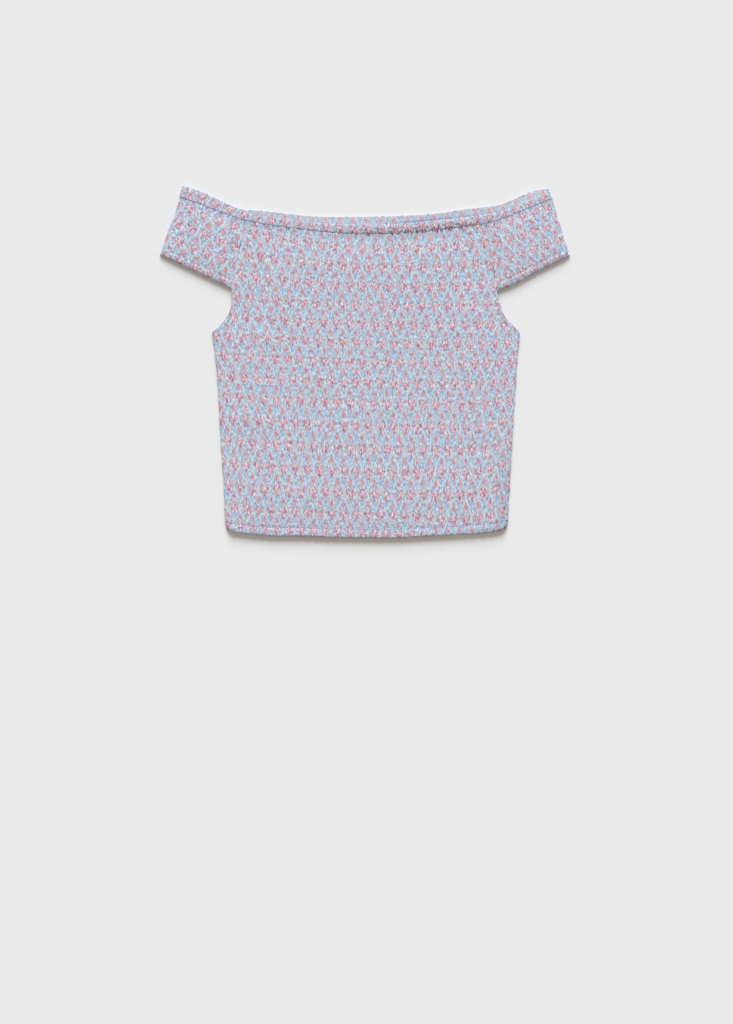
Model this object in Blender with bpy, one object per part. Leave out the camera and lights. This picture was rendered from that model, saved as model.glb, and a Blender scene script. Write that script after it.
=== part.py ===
"""Off-shoulder top in smocked jersey, laid flat on its back.

Frame: +X to the viewer's right, +Y from the hem up to the neckline, +Z out of the front.
The origin is the middle of the flat underside. Sizes and tables are in millimetres.
"""

import math

import bmesh
import bpy
import numpy as np

MM = 0.001

# Cloth and how its layers lie
WALL = 1.5
GAP = 0.3
MIDDLE_Z = WALL + GAP / 2
FRONT_INSIDE = WALL + GAP
FRONT_OUTSIDE = FRONT_INSIDE + WALL
LOFT = 1.1
EDGE_ROLL = 3.5
EDGE_DROP = 0.6

# Smocking: a diamond net of ridges, its cells half a pitch aside on every second row
RIDGE = 1.1
CENTRE_X = 2.0
LOWER_PITCH = 13.7
UPPER_EXTRA_PITCH = 1.5
PITCH_FADE_ROWS = 5.0
NECK_SAG_ROWS = 2.8

# Height of the smocking's rows in the middle of the body
ROW_HEIGHTS = np.array(
    [  # row, y
        (-2.0, 172.0),
        (-1.0, 151.0),
        (0.0, 130.2),
        (1.0, 109.4),
        (3.0, 66.0),
        (5.0, 23.3),
        (7.0, -21.7),
        (8.0, -44.8),
        (9.0, -70.5),
        (10.0, -96.5),
        (11.0, -121.9),
        (12.0, -147.2),
        (13.0, -171.3),
        (14.0, -191.2),
        (14.25, -196.7),
    ]
)

# Hem of the body, in rows of the smocking
HEM_EDGE_ROW = 14.25
HEM_ROLL_ROW = 14.08
HEM_STITCH_ROW = 13.77
HEM_LIFT = 0.45
STITCH_SINK = 0.35

# Neck casing, a turned strip with elastic in it
CASING_THICK = 2.2
CASING_PLEAT = 15.0
CASING_PLEAT_DEPTH = 0.35
CASING_MIDDLE_Z = CASING_THICK + GAP / 2
CASING_FRONT_STEPS = 108
CASING_BACK_STEPS = 48
CASING_SEAM_X = -152.0
STITCH_LINE_STEPS = 160
PAST_TIP = 12.0
FOLD_STEPS = 4

# Sleeve: pitch and rows of its own net, and its hem
SLEEVE_QUARTERS = 19
SLEEVE_BACK_STEPS = 7
SLEEVE_ROWS = 3.4
SLEEVE_HEM_PART = 0.12

# Left and right edge of the body: sleeve seam, armhole, side seam and rounded hem corner
SIDES = np.array(
    [  # y, left x, right x
        (170.0, -132.7, 134.7),
        (82.0, -149.8, 148.8),
        (65.0, -149.9, 153.0),
        (54.0, -153.8, 156.9),
        (48.0, -157.5, 160.8),
        (42.5, -162.7, 166.9),
        (35.0, -171.5, 174.5),
        (28.0, -170.3, 173.9),
        (3.6, -167.1, 171.3),
        (-23.4, -164.9, 169.8),
        (-50.4, -163.5, 167.8),
        (-77.4, -162.0, 166.6),
        (-104.4, -160.4, 164.8),
        (-131.4, -158.3, 163.5),
        (-158.4, -157.2, 161.6),
        (-182.5, -155.8, 160.2),
        (-186.5, -153.6, 157.0),
        (-189.6, -149.5, 150.0),
    ]
)

# How far the hem rises above its lowest point
HEM_RISE = np.array(
    [  # x, rise
        (-172.0, 9.3),
        (-151.0, 7.1),
        (-138.0, 5.1),
        (-124.0, 3.7),
        (-104.0, 2.2),
        (-70.0, 2.0),
        (-43.0, 0.8),
        (2.0, 0.1),
        (38.0, 0.1),
        (65.0, 1.6),
        (92.0, 3.0),
        (118.0, 4.5),
        (132.0, 5.4),
        (146.0, 6.9),
        (175.0, 10.0),
    ]
)

# Front run of the neck casing, from one sleeve's fold to the other's
NECK_FRONT = np.array(
    [  # x, top edge y, width
        (-203.0, 198.6, 12.4),
        (-185.0, 192.8, 12.4),
        (-167.0, 184.6, 11.4),
        (-150.0, 176.9, 9.9),
        (-134.5, 169.7, 7.9),
        (-95.0, 162.5, 8.0),
        (-61.0, 158.2, 8.3),
        (-28.0, 155.9, 8.5),
        (2.0, 155.5, 8.5),
        (40.0, 156.6, 9.3),
        (80.0, 160.4, 11.0),
        (107.0, 163.0, 10.0),
        (137.0, 167.0, 9.0),
        (157.0, 171.8, 7.8),
        (175.0, 178.5, 6.8),
        (206.6, 190.2, 6.0),
    ]
)

# Back run of the neck casing, whose inside shows over the front run
NECK_BACK = np.array(
    [  # x, top edge y, width
        (-203.0, 198.3, 12.2),
        (-185.0, 192.5, 12.2),
        (-167.0, 184.3, 11.0),
        (-150.0, 177.1, 9.6),
        (-139.0, 173.0, 8.8),
        (-118.0, 171.6, 9.5),
        (-95.0, 169.0, 10.0),
        (-55.0, 165.0, 10.0),
        (2.0, 164.7, 10.0),
        (53.0, 166.2, 10.0),
        (80.0, 168.2, 10.0),
        (107.0, 172.0, 10.0),
        (135.0, 175.6, 10.0),
        (147.0, 176.9, 10.0),
        (161.0, 181.4, 10.0),
        (179.0, 189.2, 9.5),
        (193.0, 194.2, 9.5),
        (206.3, 196.2, 9.5),
    ]
)

# Section of the neck casing, from its top edge over the outside to its inside
CASING_SECTION = np.array(
    [  # across the width, height on the front, height on the back
        (0.00, 0.50, 0.60),
        (0.12, 0.92, 1.00),
        (0.45, 1.06, 1.00),
        (0.82, 0.88, 1.00),
        (1.00, 0.35, 0.60),
        (0.93, 0.00, 0.00),
        (0.50, 0.00, 0.00),
        (0.08, 0.06, 0.00),
    ]
)

# Fold of each sleeve, from the casing down to the sleeve's hem
LEFT_FOLD = np.array([(-207.7, 186.6), (-212.2, 172.4), (-219.8, 152.1), (-231.6, 124.0)])
RIGHT_FOLD = np.array([(211.3, 184.5), (216.6, 165.6), (223.3, 145.4), (232.3, 123.0)])
LEFT_SLEEVE_HEM = np.array([(-149.8, 83.5), (-176.2, 95.9), (-203.2, 108.8), (-227.0, 120.2)])
RIGHT_SLEEVE_HEM = np.array([(149.0, 80.6), (168.1, 88.0), (184.5, 97.0), (228.2, 118.6)])

PRINTED_BLUE = (0.46, 0.53, 0.65, 1.0)
PRINTED_PINK = (0.56, 0.47, 0.58, 1.0)
CLOTH_ROUGHNESS = 0.88

# Angles in degrees over which an edge is shaded sharp
SMOCKED_CREASE = 8
ROUND_CREASE = 60


def clear_scene():
    for item in list(bpy.data.objects):
        bpy.data.objects.remove(item, do_unlink=True)


def cloth_material(name, colour):
    material = bpy.data.materials.new(name)
    material.use_nodes = True
    shader = material.node_tree.nodes["Principled BSDF"]
    shader.inputs["Base Color"].default_value = colour
    shader.inputs["Roughness"].default_value = CLOTH_ROUGHNESS
    shader.inputs["Metallic"].default_value = 0.0
    material.diffuse_color = colour
    return material


def through(xs, ys, at):
    """Smooth curve through the points (xs, ys), read at the given places."""
    slopes = np.gradient(ys, xs)
    at = np.clip(at, xs[0], xs[-1])
    left = np.clip(np.searchsorted(xs, at, side="right") - 1, 0, len(xs) - 2)
    step = xs[left + 1] - xs[left]
    t = (at - xs[left]) / step
    start = (2 * t**3 - 3 * t**2 + 1) * ys[left] + (t**3 - 2 * t**2 + t) * step * slopes[left]
    end = (3 * t**2 - 2 * t**3) * ys[left + 1] + (t**3 - t**2) * step * slopes[left + 1]
    return start + end


def along(points, share):
    """Points at the given shares of a polyline's length, on a smooth curve."""
    steps = np.hypot(*np.diff(points, axis=0).T)
    reached = np.concatenate([[0.0], np.cumsum(steps)]) / steps.sum()
    return np.stack([through(reached, points[:, k], share) for k in (0, 1)], axis=-1)


def net_height(column, row):
    """1 on the ridges of the diamond net, 0 in the middle of its cells."""
    rising = 1 - 2 * np.abs((column + row / 2) % 1 - 0.5)
    falling = 1 - 2 * np.abs((column - row / 2) % 1 - 0.5)
    return np.maximum(rising, falling)


def stitch_line(table):
    """The casing's stitch line, its top edge moved in by its width, run on past both tips."""
    x = np.linspace(table[0, 0], table[-1, 0], STITCH_LINE_STEPS)
    slope = through(table[:, 0], np.gradient(table[:, 1], table[:, 0]), x)
    reach = through(table[:, 0], table[:, 2], x) / np.hypot(slope, 1.0)
    line = np.stack([x + slope * reach, through(table[:, 0], table[:, 1], x) - reach], axis=1)
    before = line[0] - PAST_TIP * np.array((1.0, slope[0]))
    after = line[-1] + PAST_TIP * np.array((1.0, slope[-1]))
    return np.vstack([before, line, after])


FRONT_STITCHES = stitch_line(NECK_FRONT)
BACK_STITCHES = stitch_line(NECK_BACK)


def front_neck_y(x):
    return np.interp(x, *FRONT_STITCHES.T) - GAP


def back_neck_y(x):
    return np.interp(x, *BACK_STITCHES.T) - GAP


def row_of_y(y):
    """Row number whose middle lies at this height."""
    return float(np.interp(-y, -ROW_HEIGHTS[:, 1], ROW_HEIGHTS[:, 0]))


def row_y(row, x, neck_y):
    """Height of a row: it follows the neckline near the top and the hem near the bottom."""
    middle = np.interp(row, *ROW_HEIGHTS.T)
    seam_left, seam_right = SIDES[0, 1], SIDES[0, 2]
    neck_sag = neck_y(np.clip(x, seam_left, seam_right)) - neck_y(CENTRE_X)
    neck_share = math.exp(-max(row, 0.0) / NECK_SAG_ROWS)
    hem_share = min(max(row - 3, 0.0) / (HEM_EDGE_ROW - 3), 1.0) ** 1.5
    return middle + neck_share * neck_sag + hem_share * through(*HEM_RISE.T, x)


def row_ends(row, neck_y):
    """Where a row meets the body's left and right edge."""
    ends = []
    for side in (1, 2):
        y = row_y(row, CENTRE_X, neck_y)
        for _ in range(6):
            x = np.interp(-y, -SIDES[:, 0], SIDES[:, side])
            y = row_y(row, x, neck_y)
        ends.append(float(x) - math.copysign(GAP / 2, x))
    return ends


def row_pitch(row):
    return LOWER_PITCH + UPPER_EXTRA_PITCH * math.exp(-((max(row, 0.0) / PITCH_FADE_ROWS) ** 2))


def body_loft(x, row):
    """Swell of the front over the back, gone at its edges."""
    across = np.clip(1 - (np.abs(x - CENTRE_X) / 165.0) ** 4, 0, 1)
    down = np.clip(1 - (abs(row - 6.7) / 7.6) ** 4, 0, 1)
    return LOFT * across * down


def zip_rows(upper, lower, points):
    """Triangles between two rows of points that both run to the right."""
    faces = []
    i = j = 0
    while i < len(upper) - 1 or j < len(lower) - 1:
        if j == len(lower) - 1:
            go_upper = True
        elif i == len(upper) - 1:
            go_upper = False
        else:
            to_upper = np.linalg.norm(points[upper[i + 1]][:2] - points[lower[j]][:2])
            to_lower = np.linalg.norm(points[upper[i]][:2] - points[lower[j + 1]][:2])
            go_upper = to_upper < to_lower
        if go_upper:
            faces.append((upper[i], lower[j], upper[i + 1]))
            i += 1
        else:
            faces.append((upper[i], lower[j], lower[j + 1]))
            j += 1
    return faces


def make_object(name, points, faces, material, crease_angle):
    """An object from points in millimetres, faces turned outwards, smooth below an angle."""
    mesh = bpy.data.meshes.new(name)
    mesh.from_pydata([tuple(MM * value for value in point) for point in points], [], faces)
    solid = bmesh.new()
    solid.from_mesh(mesh)
    bmesh.ops.recalc_face_normals(solid, faces=solid.faces)
    solid.to_mesh(mesh)
    solid.free()
    mesh.materials.append(material)
    mesh.shade_smooth()
    mesh.set_sharp_from_angle(angle=math.radians(crease_angle))
    item = bpy.data.objects.new(name, mesh)
    bpy.context.scene.collection.objects.link(item)
    return item


def walled(name, over, under, material):
    """A closed wall between two sets of rows with the same rim, from the neck down."""
    points = [point for rows in (over, under) for row in rows for point in row]
    numbered = []
    count = 0
    for rows in (over, under):
        layer = []
        for row in rows:
            layer.append(list(range(count, count + len(row))))
            count += len(row)
        numbered.append(layer)
    faces = []
    for layer in numbered:
        for upper, lower in zip(layer, layer[1:]):
            faces += zip_rows(upper, lower, points)
    top, bottom = numbered
    rim_pairs = [list(zip(top[end], bottom[end])) for end in (0, -1)]
    rim_pairs += [[(a[end], b[end]) for a, b in zip(top, bottom)] for end in (0, -1)]
    for pairs in rim_pairs:
        for (a, b), (c, d) in zip(pairs, pairs[1:]):
            faces.append((a, b, d, c))
    return make_object(name, points, faces, material, SMOCKED_CREASE)


def body_columns(row, left, right, step, offset):
    """Column numbers whose points keep clear of the rolled edge."""
    pitch = row_pitch(row)
    margin = EDGE_ROLL + 2.0
    first = math.ceil(((left + margin - CENTRE_X) / pitch - offset) / step)
    last = math.floor(((right - margin - CENTRE_X) / pitch - offset) / step)
    return (np.arange(first, last + 1) * step + offset), pitch


def front_panel(material):
    """Front: smocked on the outside, plain inside, its edges rolled down to the seams."""
    neck_row = row_of_y(float(front_neck_y(CENTRE_X)))
    rolled_row = neck_row + 0.18
    halves = [half / 2 for half in range(0, 28)]
    rows = [neck_row, rolled_row, *halves, HEM_STITCH_ROW, HEM_ROLL_ROW, HEM_EDGE_ROW]
    over, under = [], []
    for row in rows:
        left, right = row_ends(row, front_neck_y)
        offset = 0.25 if round(row * 2) % 2 and row in halves else 0.0
        columns, pitch = body_columns(row, left, right, 0.5, offset)
        inner_x = CENTRE_X + columns * pitch
        x = np.concatenate([[left, left + EDGE_ROLL], inner_x, [right - EDGE_ROLL, right]])
        y = row_y(row, x, front_neck_y)
        strength = np.interp(row, (neck_row, 1.0, 13.0, HEM_EDGE_ROW), (0.3, 1.0, 1.0, 0.5))
        relief = np.zeros(len(x))
        relief[2:-2] = RIDGE * strength * net_height(columns, row)
        lift = np.interp(
            row,
            (13.5, HEM_STITCH_ROW, HEM_ROLL_ROW, HEM_EDGE_ROW),
            (0.0, -STITCH_SINK, HEM_LIFT, HEM_LIFT),
        )
        on_rim = row in (neck_row, HEM_EDGE_ROW)
        swell = body_loft(x, row)
        z = FRONT_OUTSIDE + swell + relief + lift
        if on_rim:
            z = np.full(len(x), FRONT_OUTSIDE - EDGE_DROP)
        z[[0, -1]] = FRONT_OUTSIDE - EDGE_DROP
        over.append(np.stack([x, y, z], axis=1))
        picked = slice(None) if on_rim else [0, *range(3, len(x) - 3, 6), len(x) - 1]
        inside = FRONT_INSIDE + (0.0 if on_rim else 1.0) * swell
        inside[[0, -1]] = FRONT_INSIDE
        under.append(np.stack([x, y, inside], axis=1)[picked])
    return walled("front", over, under, material)


def back_panel(material):
    """Back: plain inside and flat on its outside, where it rests."""
    neck_row = row_of_y(float(back_neck_y(CENTRE_X)))
    rows = [neck_row, 0.0, 1.0, 2.0, 2.5, 3.0, 3.5, 4.0, 4.5, 5.0, 6.0, 7.0, 8.0, 9.0, 10.0]
    rows += [11.0, 12.0, 13.0, HEM_STITCH_ROW, HEM_EDGE_ROW]
    over, under = [], []
    for row in rows:
        left, right = row_ends(row, back_neck_y)
        on_rim = row in (neck_row, HEM_EDGE_ROW)
        columns, pitch = body_columns(row, left, right, 1.0 if on_rim else 2.0, 0.0)
        x = np.concatenate([[left], CENTRE_X + columns * pitch, [right]])
        y = row_y(row, x, back_neck_y)
        over.append(np.stack([x, y, np.full(len(x), WALL)], axis=1))
        under.append(np.stack([x, y, np.zeros(len(x))], axis=1))
    return walled("back", over, under, material)


def patch(seam, fold, top, hem, u, v):
    """Point of a four-sided patch between its edges, u from seam to fold, v from top to hem."""
    across = (1 - u) * seam(v) + u * fold(v)
    down = (1 - v) * top(u) + v * hem(u)
    corners = (1 - u) * (1 - v) * top(0.0) + u * (1 - v) * top(1.0)
    corners = corners + (1 - u) * v * hem(0.0) + u * v * hem(1.0)
    return across + down - corners


def sleeve_edges(side, neck_y, fold_line, hem_line):
    """The four edges of one sleeve half, clear of the body and the casing by the gap."""
    column = 1 if side < 0 else 2
    hem_y = hem_line[0, 1]
    seam_top_x = SIDES[0, column]
    for _ in range(6):
        seam_top_y = float(neck_y(seam_top_x))
        seam_top_x = np.interp(-seam_top_y, -SIDES[:, 0], SIDES[:, column])
    seam_line = np.array([(seam_top_x, seam_top_y), hem_line[0]]) + (side * GAP / 2, 0.0)
    seam_line[1, 0] = np.interp(-hem_y, -SIDES[:, 0], SIDES[:, column]) + side * GAP / 2
    hem_line = hem_line.copy()
    hem_line[0] = seam_line[1]
    inset = np.array((side * MIDDLE_Z, 0.0))
    fold_line = fold_line - inset
    hem_line[-1] = fold_line[-1] - (side * 1.0, 3.0)
    fold_line[-1] = hem_line[-1]
    tip_x = fold_line[0, 0]
    fold_line[0, 1] = float(neck_y(tip_x)) - GAP

    def seam(v):
        return (1 - v) * seam_line[0] + v * seam_line[1]

    def fold(v):
        return along(fold_line, v)

    def top(u):
        x = (1 - u) * seam_line[0, 0] + u * tip_x
        return np.array((x, float(neck_y(x))))

    def hem(u):
        return along(hem_line, u)

    return seam, fold, top, hem


def sleeve(name, side, fold_line, hem_line, material):
    """One sleeve: a wall that runs from the front seam out to the fold and back under."""
    front_edges = sleeve_edges(side, front_neck_y, fold_line, hem_line)
    back_edges = sleeve_edges(side, back_neck_y, fold_line, hem_line)
    row_parts = [0.0, 0.04, *(np.arange(1, 6) / (2 * SLEEVE_ROWS) + 0.02)]
    row_parts += [1 - SLEEVE_HEM_PART, 1 - SLEEVE_HEM_PART / 2, 1.0]
    points, faces, rings = [], [], []
    for v in row_parts:
        at_rim = v in (0.0, 1.0)
        outer, inner = [], []
        for quarter in range(SLEEVE_QUARTERS + 1):
            u = quarter / SLEEVE_QUARTERS
            place = patch(*front_edges, u, v)
            loft = LOFT * math.sin(math.pi * u) ** 0.7 * math.sin(math.pi * v) ** 0.7
            near_edge = min(1.0, 6 * u, 5 * (1 - u))
            row = v * SLEEVE_ROWS
            relief = RIDGE * near_edge * float(net_height(quarter / 4, row))
            if v > 1 - SLEEVE_HEM_PART:
                relief = 0.4 * relief + HEM_LIFT * near_edge
            elif v == 1 - SLEEVE_HEM_PART:
                relief = -STITCH_SINK * near_edge
            height = FRONT_OUTSIDE + loft + relief
            if at_rim or quarter == 0:
                height = FRONT_OUTSIDE - EDGE_DROP * (1.0 if u < 1 else 0.0)
            outer.append((*place, height))
            inner.append((*place, FRONT_INSIDE + (0.0 if at_rim else loft)))
        turn_front, turn_back = patch(*front_edges, 1.0, v), patch(*back_edges, 1.0, v)
        for step in range(1, FOLD_STEPS):
            angle = math.pi * step / FOLD_STEPS
            centre = turn_front + (turn_back - turn_front) * step / FOLD_STEPS
            for path, radius in ((outer, MIDDLE_Z), (inner, GAP / 2)):
                x = centre[0] + side * radius * math.sin(angle)
                path.append((x, centre[1], MIDDLE_Z + radius * math.cos(angle)))
        for step in range(SLEEVE_BACK_STEPS, -1, -1):
            place = patch(*back_edges, step / SLEEVE_BACK_STEPS, v)
            outer.append((*place, 0.0))
            inner.append((*place, WALL))
        start = len(points)
        points += outer + inner[::-1]
        rings.append(list(range(start, len(points))))
    size = len(rings[0])
    for ring, following in zip(rings, rings[1:]):
        for k in range(size):
            nxt = (k + 1) % size
            faces.append((ring[k], ring[nxt], following[nxt], following[k]))
    for ring in (rings[0], rings[-1]):
        for k in range(size // 2 - 1):
            faces.append((ring[k], ring[k + 1], ring[size - 2 - k], ring[size - 1 - k]))
    return make_object(name, points, faces, material, SMOCKED_CREASE)


def casing_station(table, x, out, height_column, turn, pleat):
    """One section of the neck casing, its outside turned by an angle from straight up."""
    edge = np.array((x, float(through(table[:, 0], table[:, 1], np.array(x)))))
    slope = float(through(table[:, 0], np.gradient(table[:, 1], table[:, 0]), np.array(x)))
    width = float(through(table[:, 0], table[:, 2], np.array(x)))
    across = np.array((slope, -1.0)) / math.hypot(slope, 1.0)
    ahead = np.array((1.0, slope)) * out / math.hypot(slope, 1.0)
    section = []
    for share, *heights in CASING_SECTION:
        height = heights[height_column] * (CASING_THICK + pleat * (heights[height_column] > 0.5))
        reach = GAP / 2 + height
        place = edge + across * share * width + ahead * math.sin(turn) * reach
        section.append((*place, CASING_MIDDLE_Z + math.cos(turn) * reach))
    return section


def neck_casing(material):
    """Neck casing: a strip all round the neckline, folded at each sleeve's tip.

    Its ends meet in a seam on the back run, under the front run.
    """
    sections = []
    front_x = np.linspace(NECK_FRONT[0, 0], NECK_FRONT[-1, 0], CASING_FRONT_STEPS + 1)
    back_x = np.linspace(NECK_BACK[-1, 0], NECK_BACK[0, 0], CASING_BACK_STEPS + 1)
    past_seam = [CASING_SEAM_X - GAP / 2, *back_x[back_x < CASING_SEAM_X - 1.0]]
    up_to_seam = [*back_x[back_x > CASING_SEAM_X + 1.0], CASING_SEAM_X + GAP / 2]
    for x in past_seam:
        sections.append(casing_station(NECK_BACK, x, 1.0, 1, math.pi, 0.0))
    sections += casing_fold(NECK_BACK, NECK_FRONT, 0, -1.0)
    for x in front_x:
        pleat = CASING_PLEAT_DEPTH * math.cos(2 * math.pi * (x - CENTRE_X) / CASING_PLEAT)
        sections.append(casing_station(NECK_FRONT, x, 1.0, 0, 0.0, pleat))
    sections += casing_fold(NECK_FRONT, NECK_BACK, -1, 1.0)
    for x in up_to_seam:
        sections.append(casing_station(NECK_BACK, x, 1.0, 1, math.pi, 0.0))
    size = len(CASING_SECTION)
    points = [point for section in sections for point in section]
    last = (len(sections) - 1) * size
    faces = [tuple(range(size)), tuple(range(last, last + size))]
    for here in range(0, last, size):
        for m in range(size):
            nxt = (m + 1) % size
            faces.append((here + m, here + nxt, here + size + nxt, here + size + m))
    return make_object("neck_casing", points, faces, material, ROUND_CREASE)


def casing_fold(leaving, arriving, end, out):
    """Sections of the turn at one tip, from the run it leaves to the run it joins."""
    sections = []
    over = leaving is NECK_FRONT
    for step in range(1, FOLD_STEPS):
        share = step / FOLD_STEPS
        turn = math.pi * (share if over else 1 - share)
        runs = []
        for table in (leaving, arriving):
            column = 0 if table is NECK_FRONT else 1
            runs.append(casing_station(table, table[end, 0], out, column, turn, 0.0))
        sections.append((1 - share) * np.array(runs[0]) + share * np.array(runs[1]))
    return [[tuple(point) for point in section] for section in sections]


def main():
    clear_scene()
    blue = cloth_material("printed_blue", PRINTED_BLUE)
    pink = cloth_material("printed_pink", PRINTED_PINK)
    front_panel(blue)
    back_panel(pink)
    sleeve("sleeve_left", -1, LEFT_FOLD, LEFT_SLEEVE_HEM, blue)
    sleeve("sleeve_right", 1, RIGHT_FOLD, RIGHT_SLEEVE_HEM, blue)
    neck_casing(pink)


if __name__ == "__main__":
    main()
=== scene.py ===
"""The looks of a short off-shoulder top in smocked printed jersey, laid flat on a pale floor.

Frame: +X to the viewer's right, +Y from the hem up to the neckline, +Z out of the front. Sizes
in the classes are millimetres, and meshes are made in metres.
"""

from __future__ import annotations

import logging
import math
from dataclasses import dataclass, field
from enum import Enum
from typing import Callable

import bpy
import numpy as np
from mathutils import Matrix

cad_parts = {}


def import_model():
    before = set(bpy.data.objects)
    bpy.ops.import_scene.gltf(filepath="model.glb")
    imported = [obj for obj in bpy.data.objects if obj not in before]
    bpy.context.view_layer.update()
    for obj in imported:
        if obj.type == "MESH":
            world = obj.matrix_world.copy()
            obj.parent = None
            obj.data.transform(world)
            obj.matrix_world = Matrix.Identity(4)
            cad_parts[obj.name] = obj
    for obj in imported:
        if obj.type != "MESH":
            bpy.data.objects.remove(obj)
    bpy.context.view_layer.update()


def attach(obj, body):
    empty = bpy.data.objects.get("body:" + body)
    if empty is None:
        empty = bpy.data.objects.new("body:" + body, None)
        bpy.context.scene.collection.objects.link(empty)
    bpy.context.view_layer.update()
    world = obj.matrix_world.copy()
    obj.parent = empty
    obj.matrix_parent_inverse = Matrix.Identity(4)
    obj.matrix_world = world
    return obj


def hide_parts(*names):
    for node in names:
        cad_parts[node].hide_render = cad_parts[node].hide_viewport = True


MM = 0.001
CORNER_ANGLE = math.radians(62)
LOG = logging.getLogger("top")
Array = np.ndarray
Pair = tuple[float, float]
Table = tuple[Pair, ...]
Triple = tuple[float, float, float]
Screen = tuple[int, int, int]
Material = bpy.types.Material
Piece = bpy.types.Object


def smooth_through(xs: Array, ys: Array, at: Array | float) -> Array:
    """Reads a smooth curve through points.

    Args:
        xs: The points' places, rising.
        ys: The points' values.
        at: Where to read, held within the first and last place.

    Returns:
        The curve's values.
    """
    slopes = np.gradient(ys, xs)
    at = np.clip(at, xs[0], xs[-1])
    left = np.clip(np.searchsorted(xs, at, side="right") - 1, 0, len(xs) - 2)
    step = xs[left + 1] - xs[left]
    t = (at - xs[left]) / step
    start = (2 * t**3 - 3 * t**2 + 1) * ys[left] + (t**3 - 2 * t**2 + t) * step * slopes[left]
    end = (3 * t**2 - 2 * t**3) * ys[left + 1] + (t**3 - t**2) * step * slopes[left + 1]
    return start + end


def ease(value: Array | float, low: float, high: float) -> Array:
    """Rises smoothly from 0 at low to 1 at high.

    Args:
        value: What is measured.
        low: Where the rise starts.
        high: Where it ends.

    Returns:
        The share, 0 to 1.
    """
    t = np.clip((np.asarray(value, float) - low) / (high - low), 0.0, 1.0)
    return t * t * (3.0 - 2.0 * t)


def rolled(distance: Array, width: float) -> Array:
    """Quarter-round profile of an edge.

    Args:
        distance: How far each point lies in from the edge.
        width: Where the roll is over.

    Returns:
        0 at the edge and 1 past the roll.
    """
    t = np.clip(distance / width, 0.0, 1.0)
    return np.sqrt(1.0 - (1.0 - t) ** 2)


def bell(distance: Array, width: float | Array) -> Array:
    """1 in the middle, and about a third one width away from it."""
    return np.exp(-((distance / width) ** 2))


def read_over(x: Array, table: Table) -> Array:
    """Smooth curve over x through a table of x and value."""
    return smooth_through(*np.array(table).T, x)


def raised(places: Array, height: Array | float) -> Array:
    """Points over flat places at a height."""
    return np.concatenate([places, np.broadcast_to(height, places.shape[:-1])[..., None]], axis=-1)


@dataclass(frozen=True)
class Ripples:
    """Soft uneven waves, the same each time for one seed.

    Attributes:
        seed: Start of the random draws.
        across: Mean wave length along the first coordinate.
        along: Mean wave length along the second coordinate.
        waves: How many waves are added up.
        spread: The shortest and the longest wave, as shares of the mean.
    """

    seed: int
    across: float
    along: float
    waves: int = 14
    spread: Pair = (0.6, 1.7)

    def at(self, x: Array, y: Array) -> Array:
        """Adds up the waves.

        Args:
            x: First coordinate of the places.
            y: Second coordinate of the places.

        Returns:
            Heights, about -1 to 1.
        """
        draw = np.random.default_rng(self.seed)
        total = np.zeros(np.broadcast(x, y).shape)
        for _ in range(self.waves):
            stretch = draw.uniform(*self.spread, 2)
            sign = draw.choice((-1.0, 1.0))
            phase = draw.uniform(0.0, 2.0 * math.pi)
            turns = x / (self.across * stretch[0]) + sign * y / (self.along * stretch[1])
            total = total + np.cos(2.0 * math.pi * turns + phase)
        return total / math.sqrt(self.waves)


Crinkles = tuple[tuple[float, Ripples], ...]


def crinkled(crinkles: Crinkles, x: Array, y: Array) -> Array:
    """Adds up crinkles, each by its depth, at the places x and y."""
    return sum(depth * waves.at(x, y) for depth, waves in crinkles)


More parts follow.
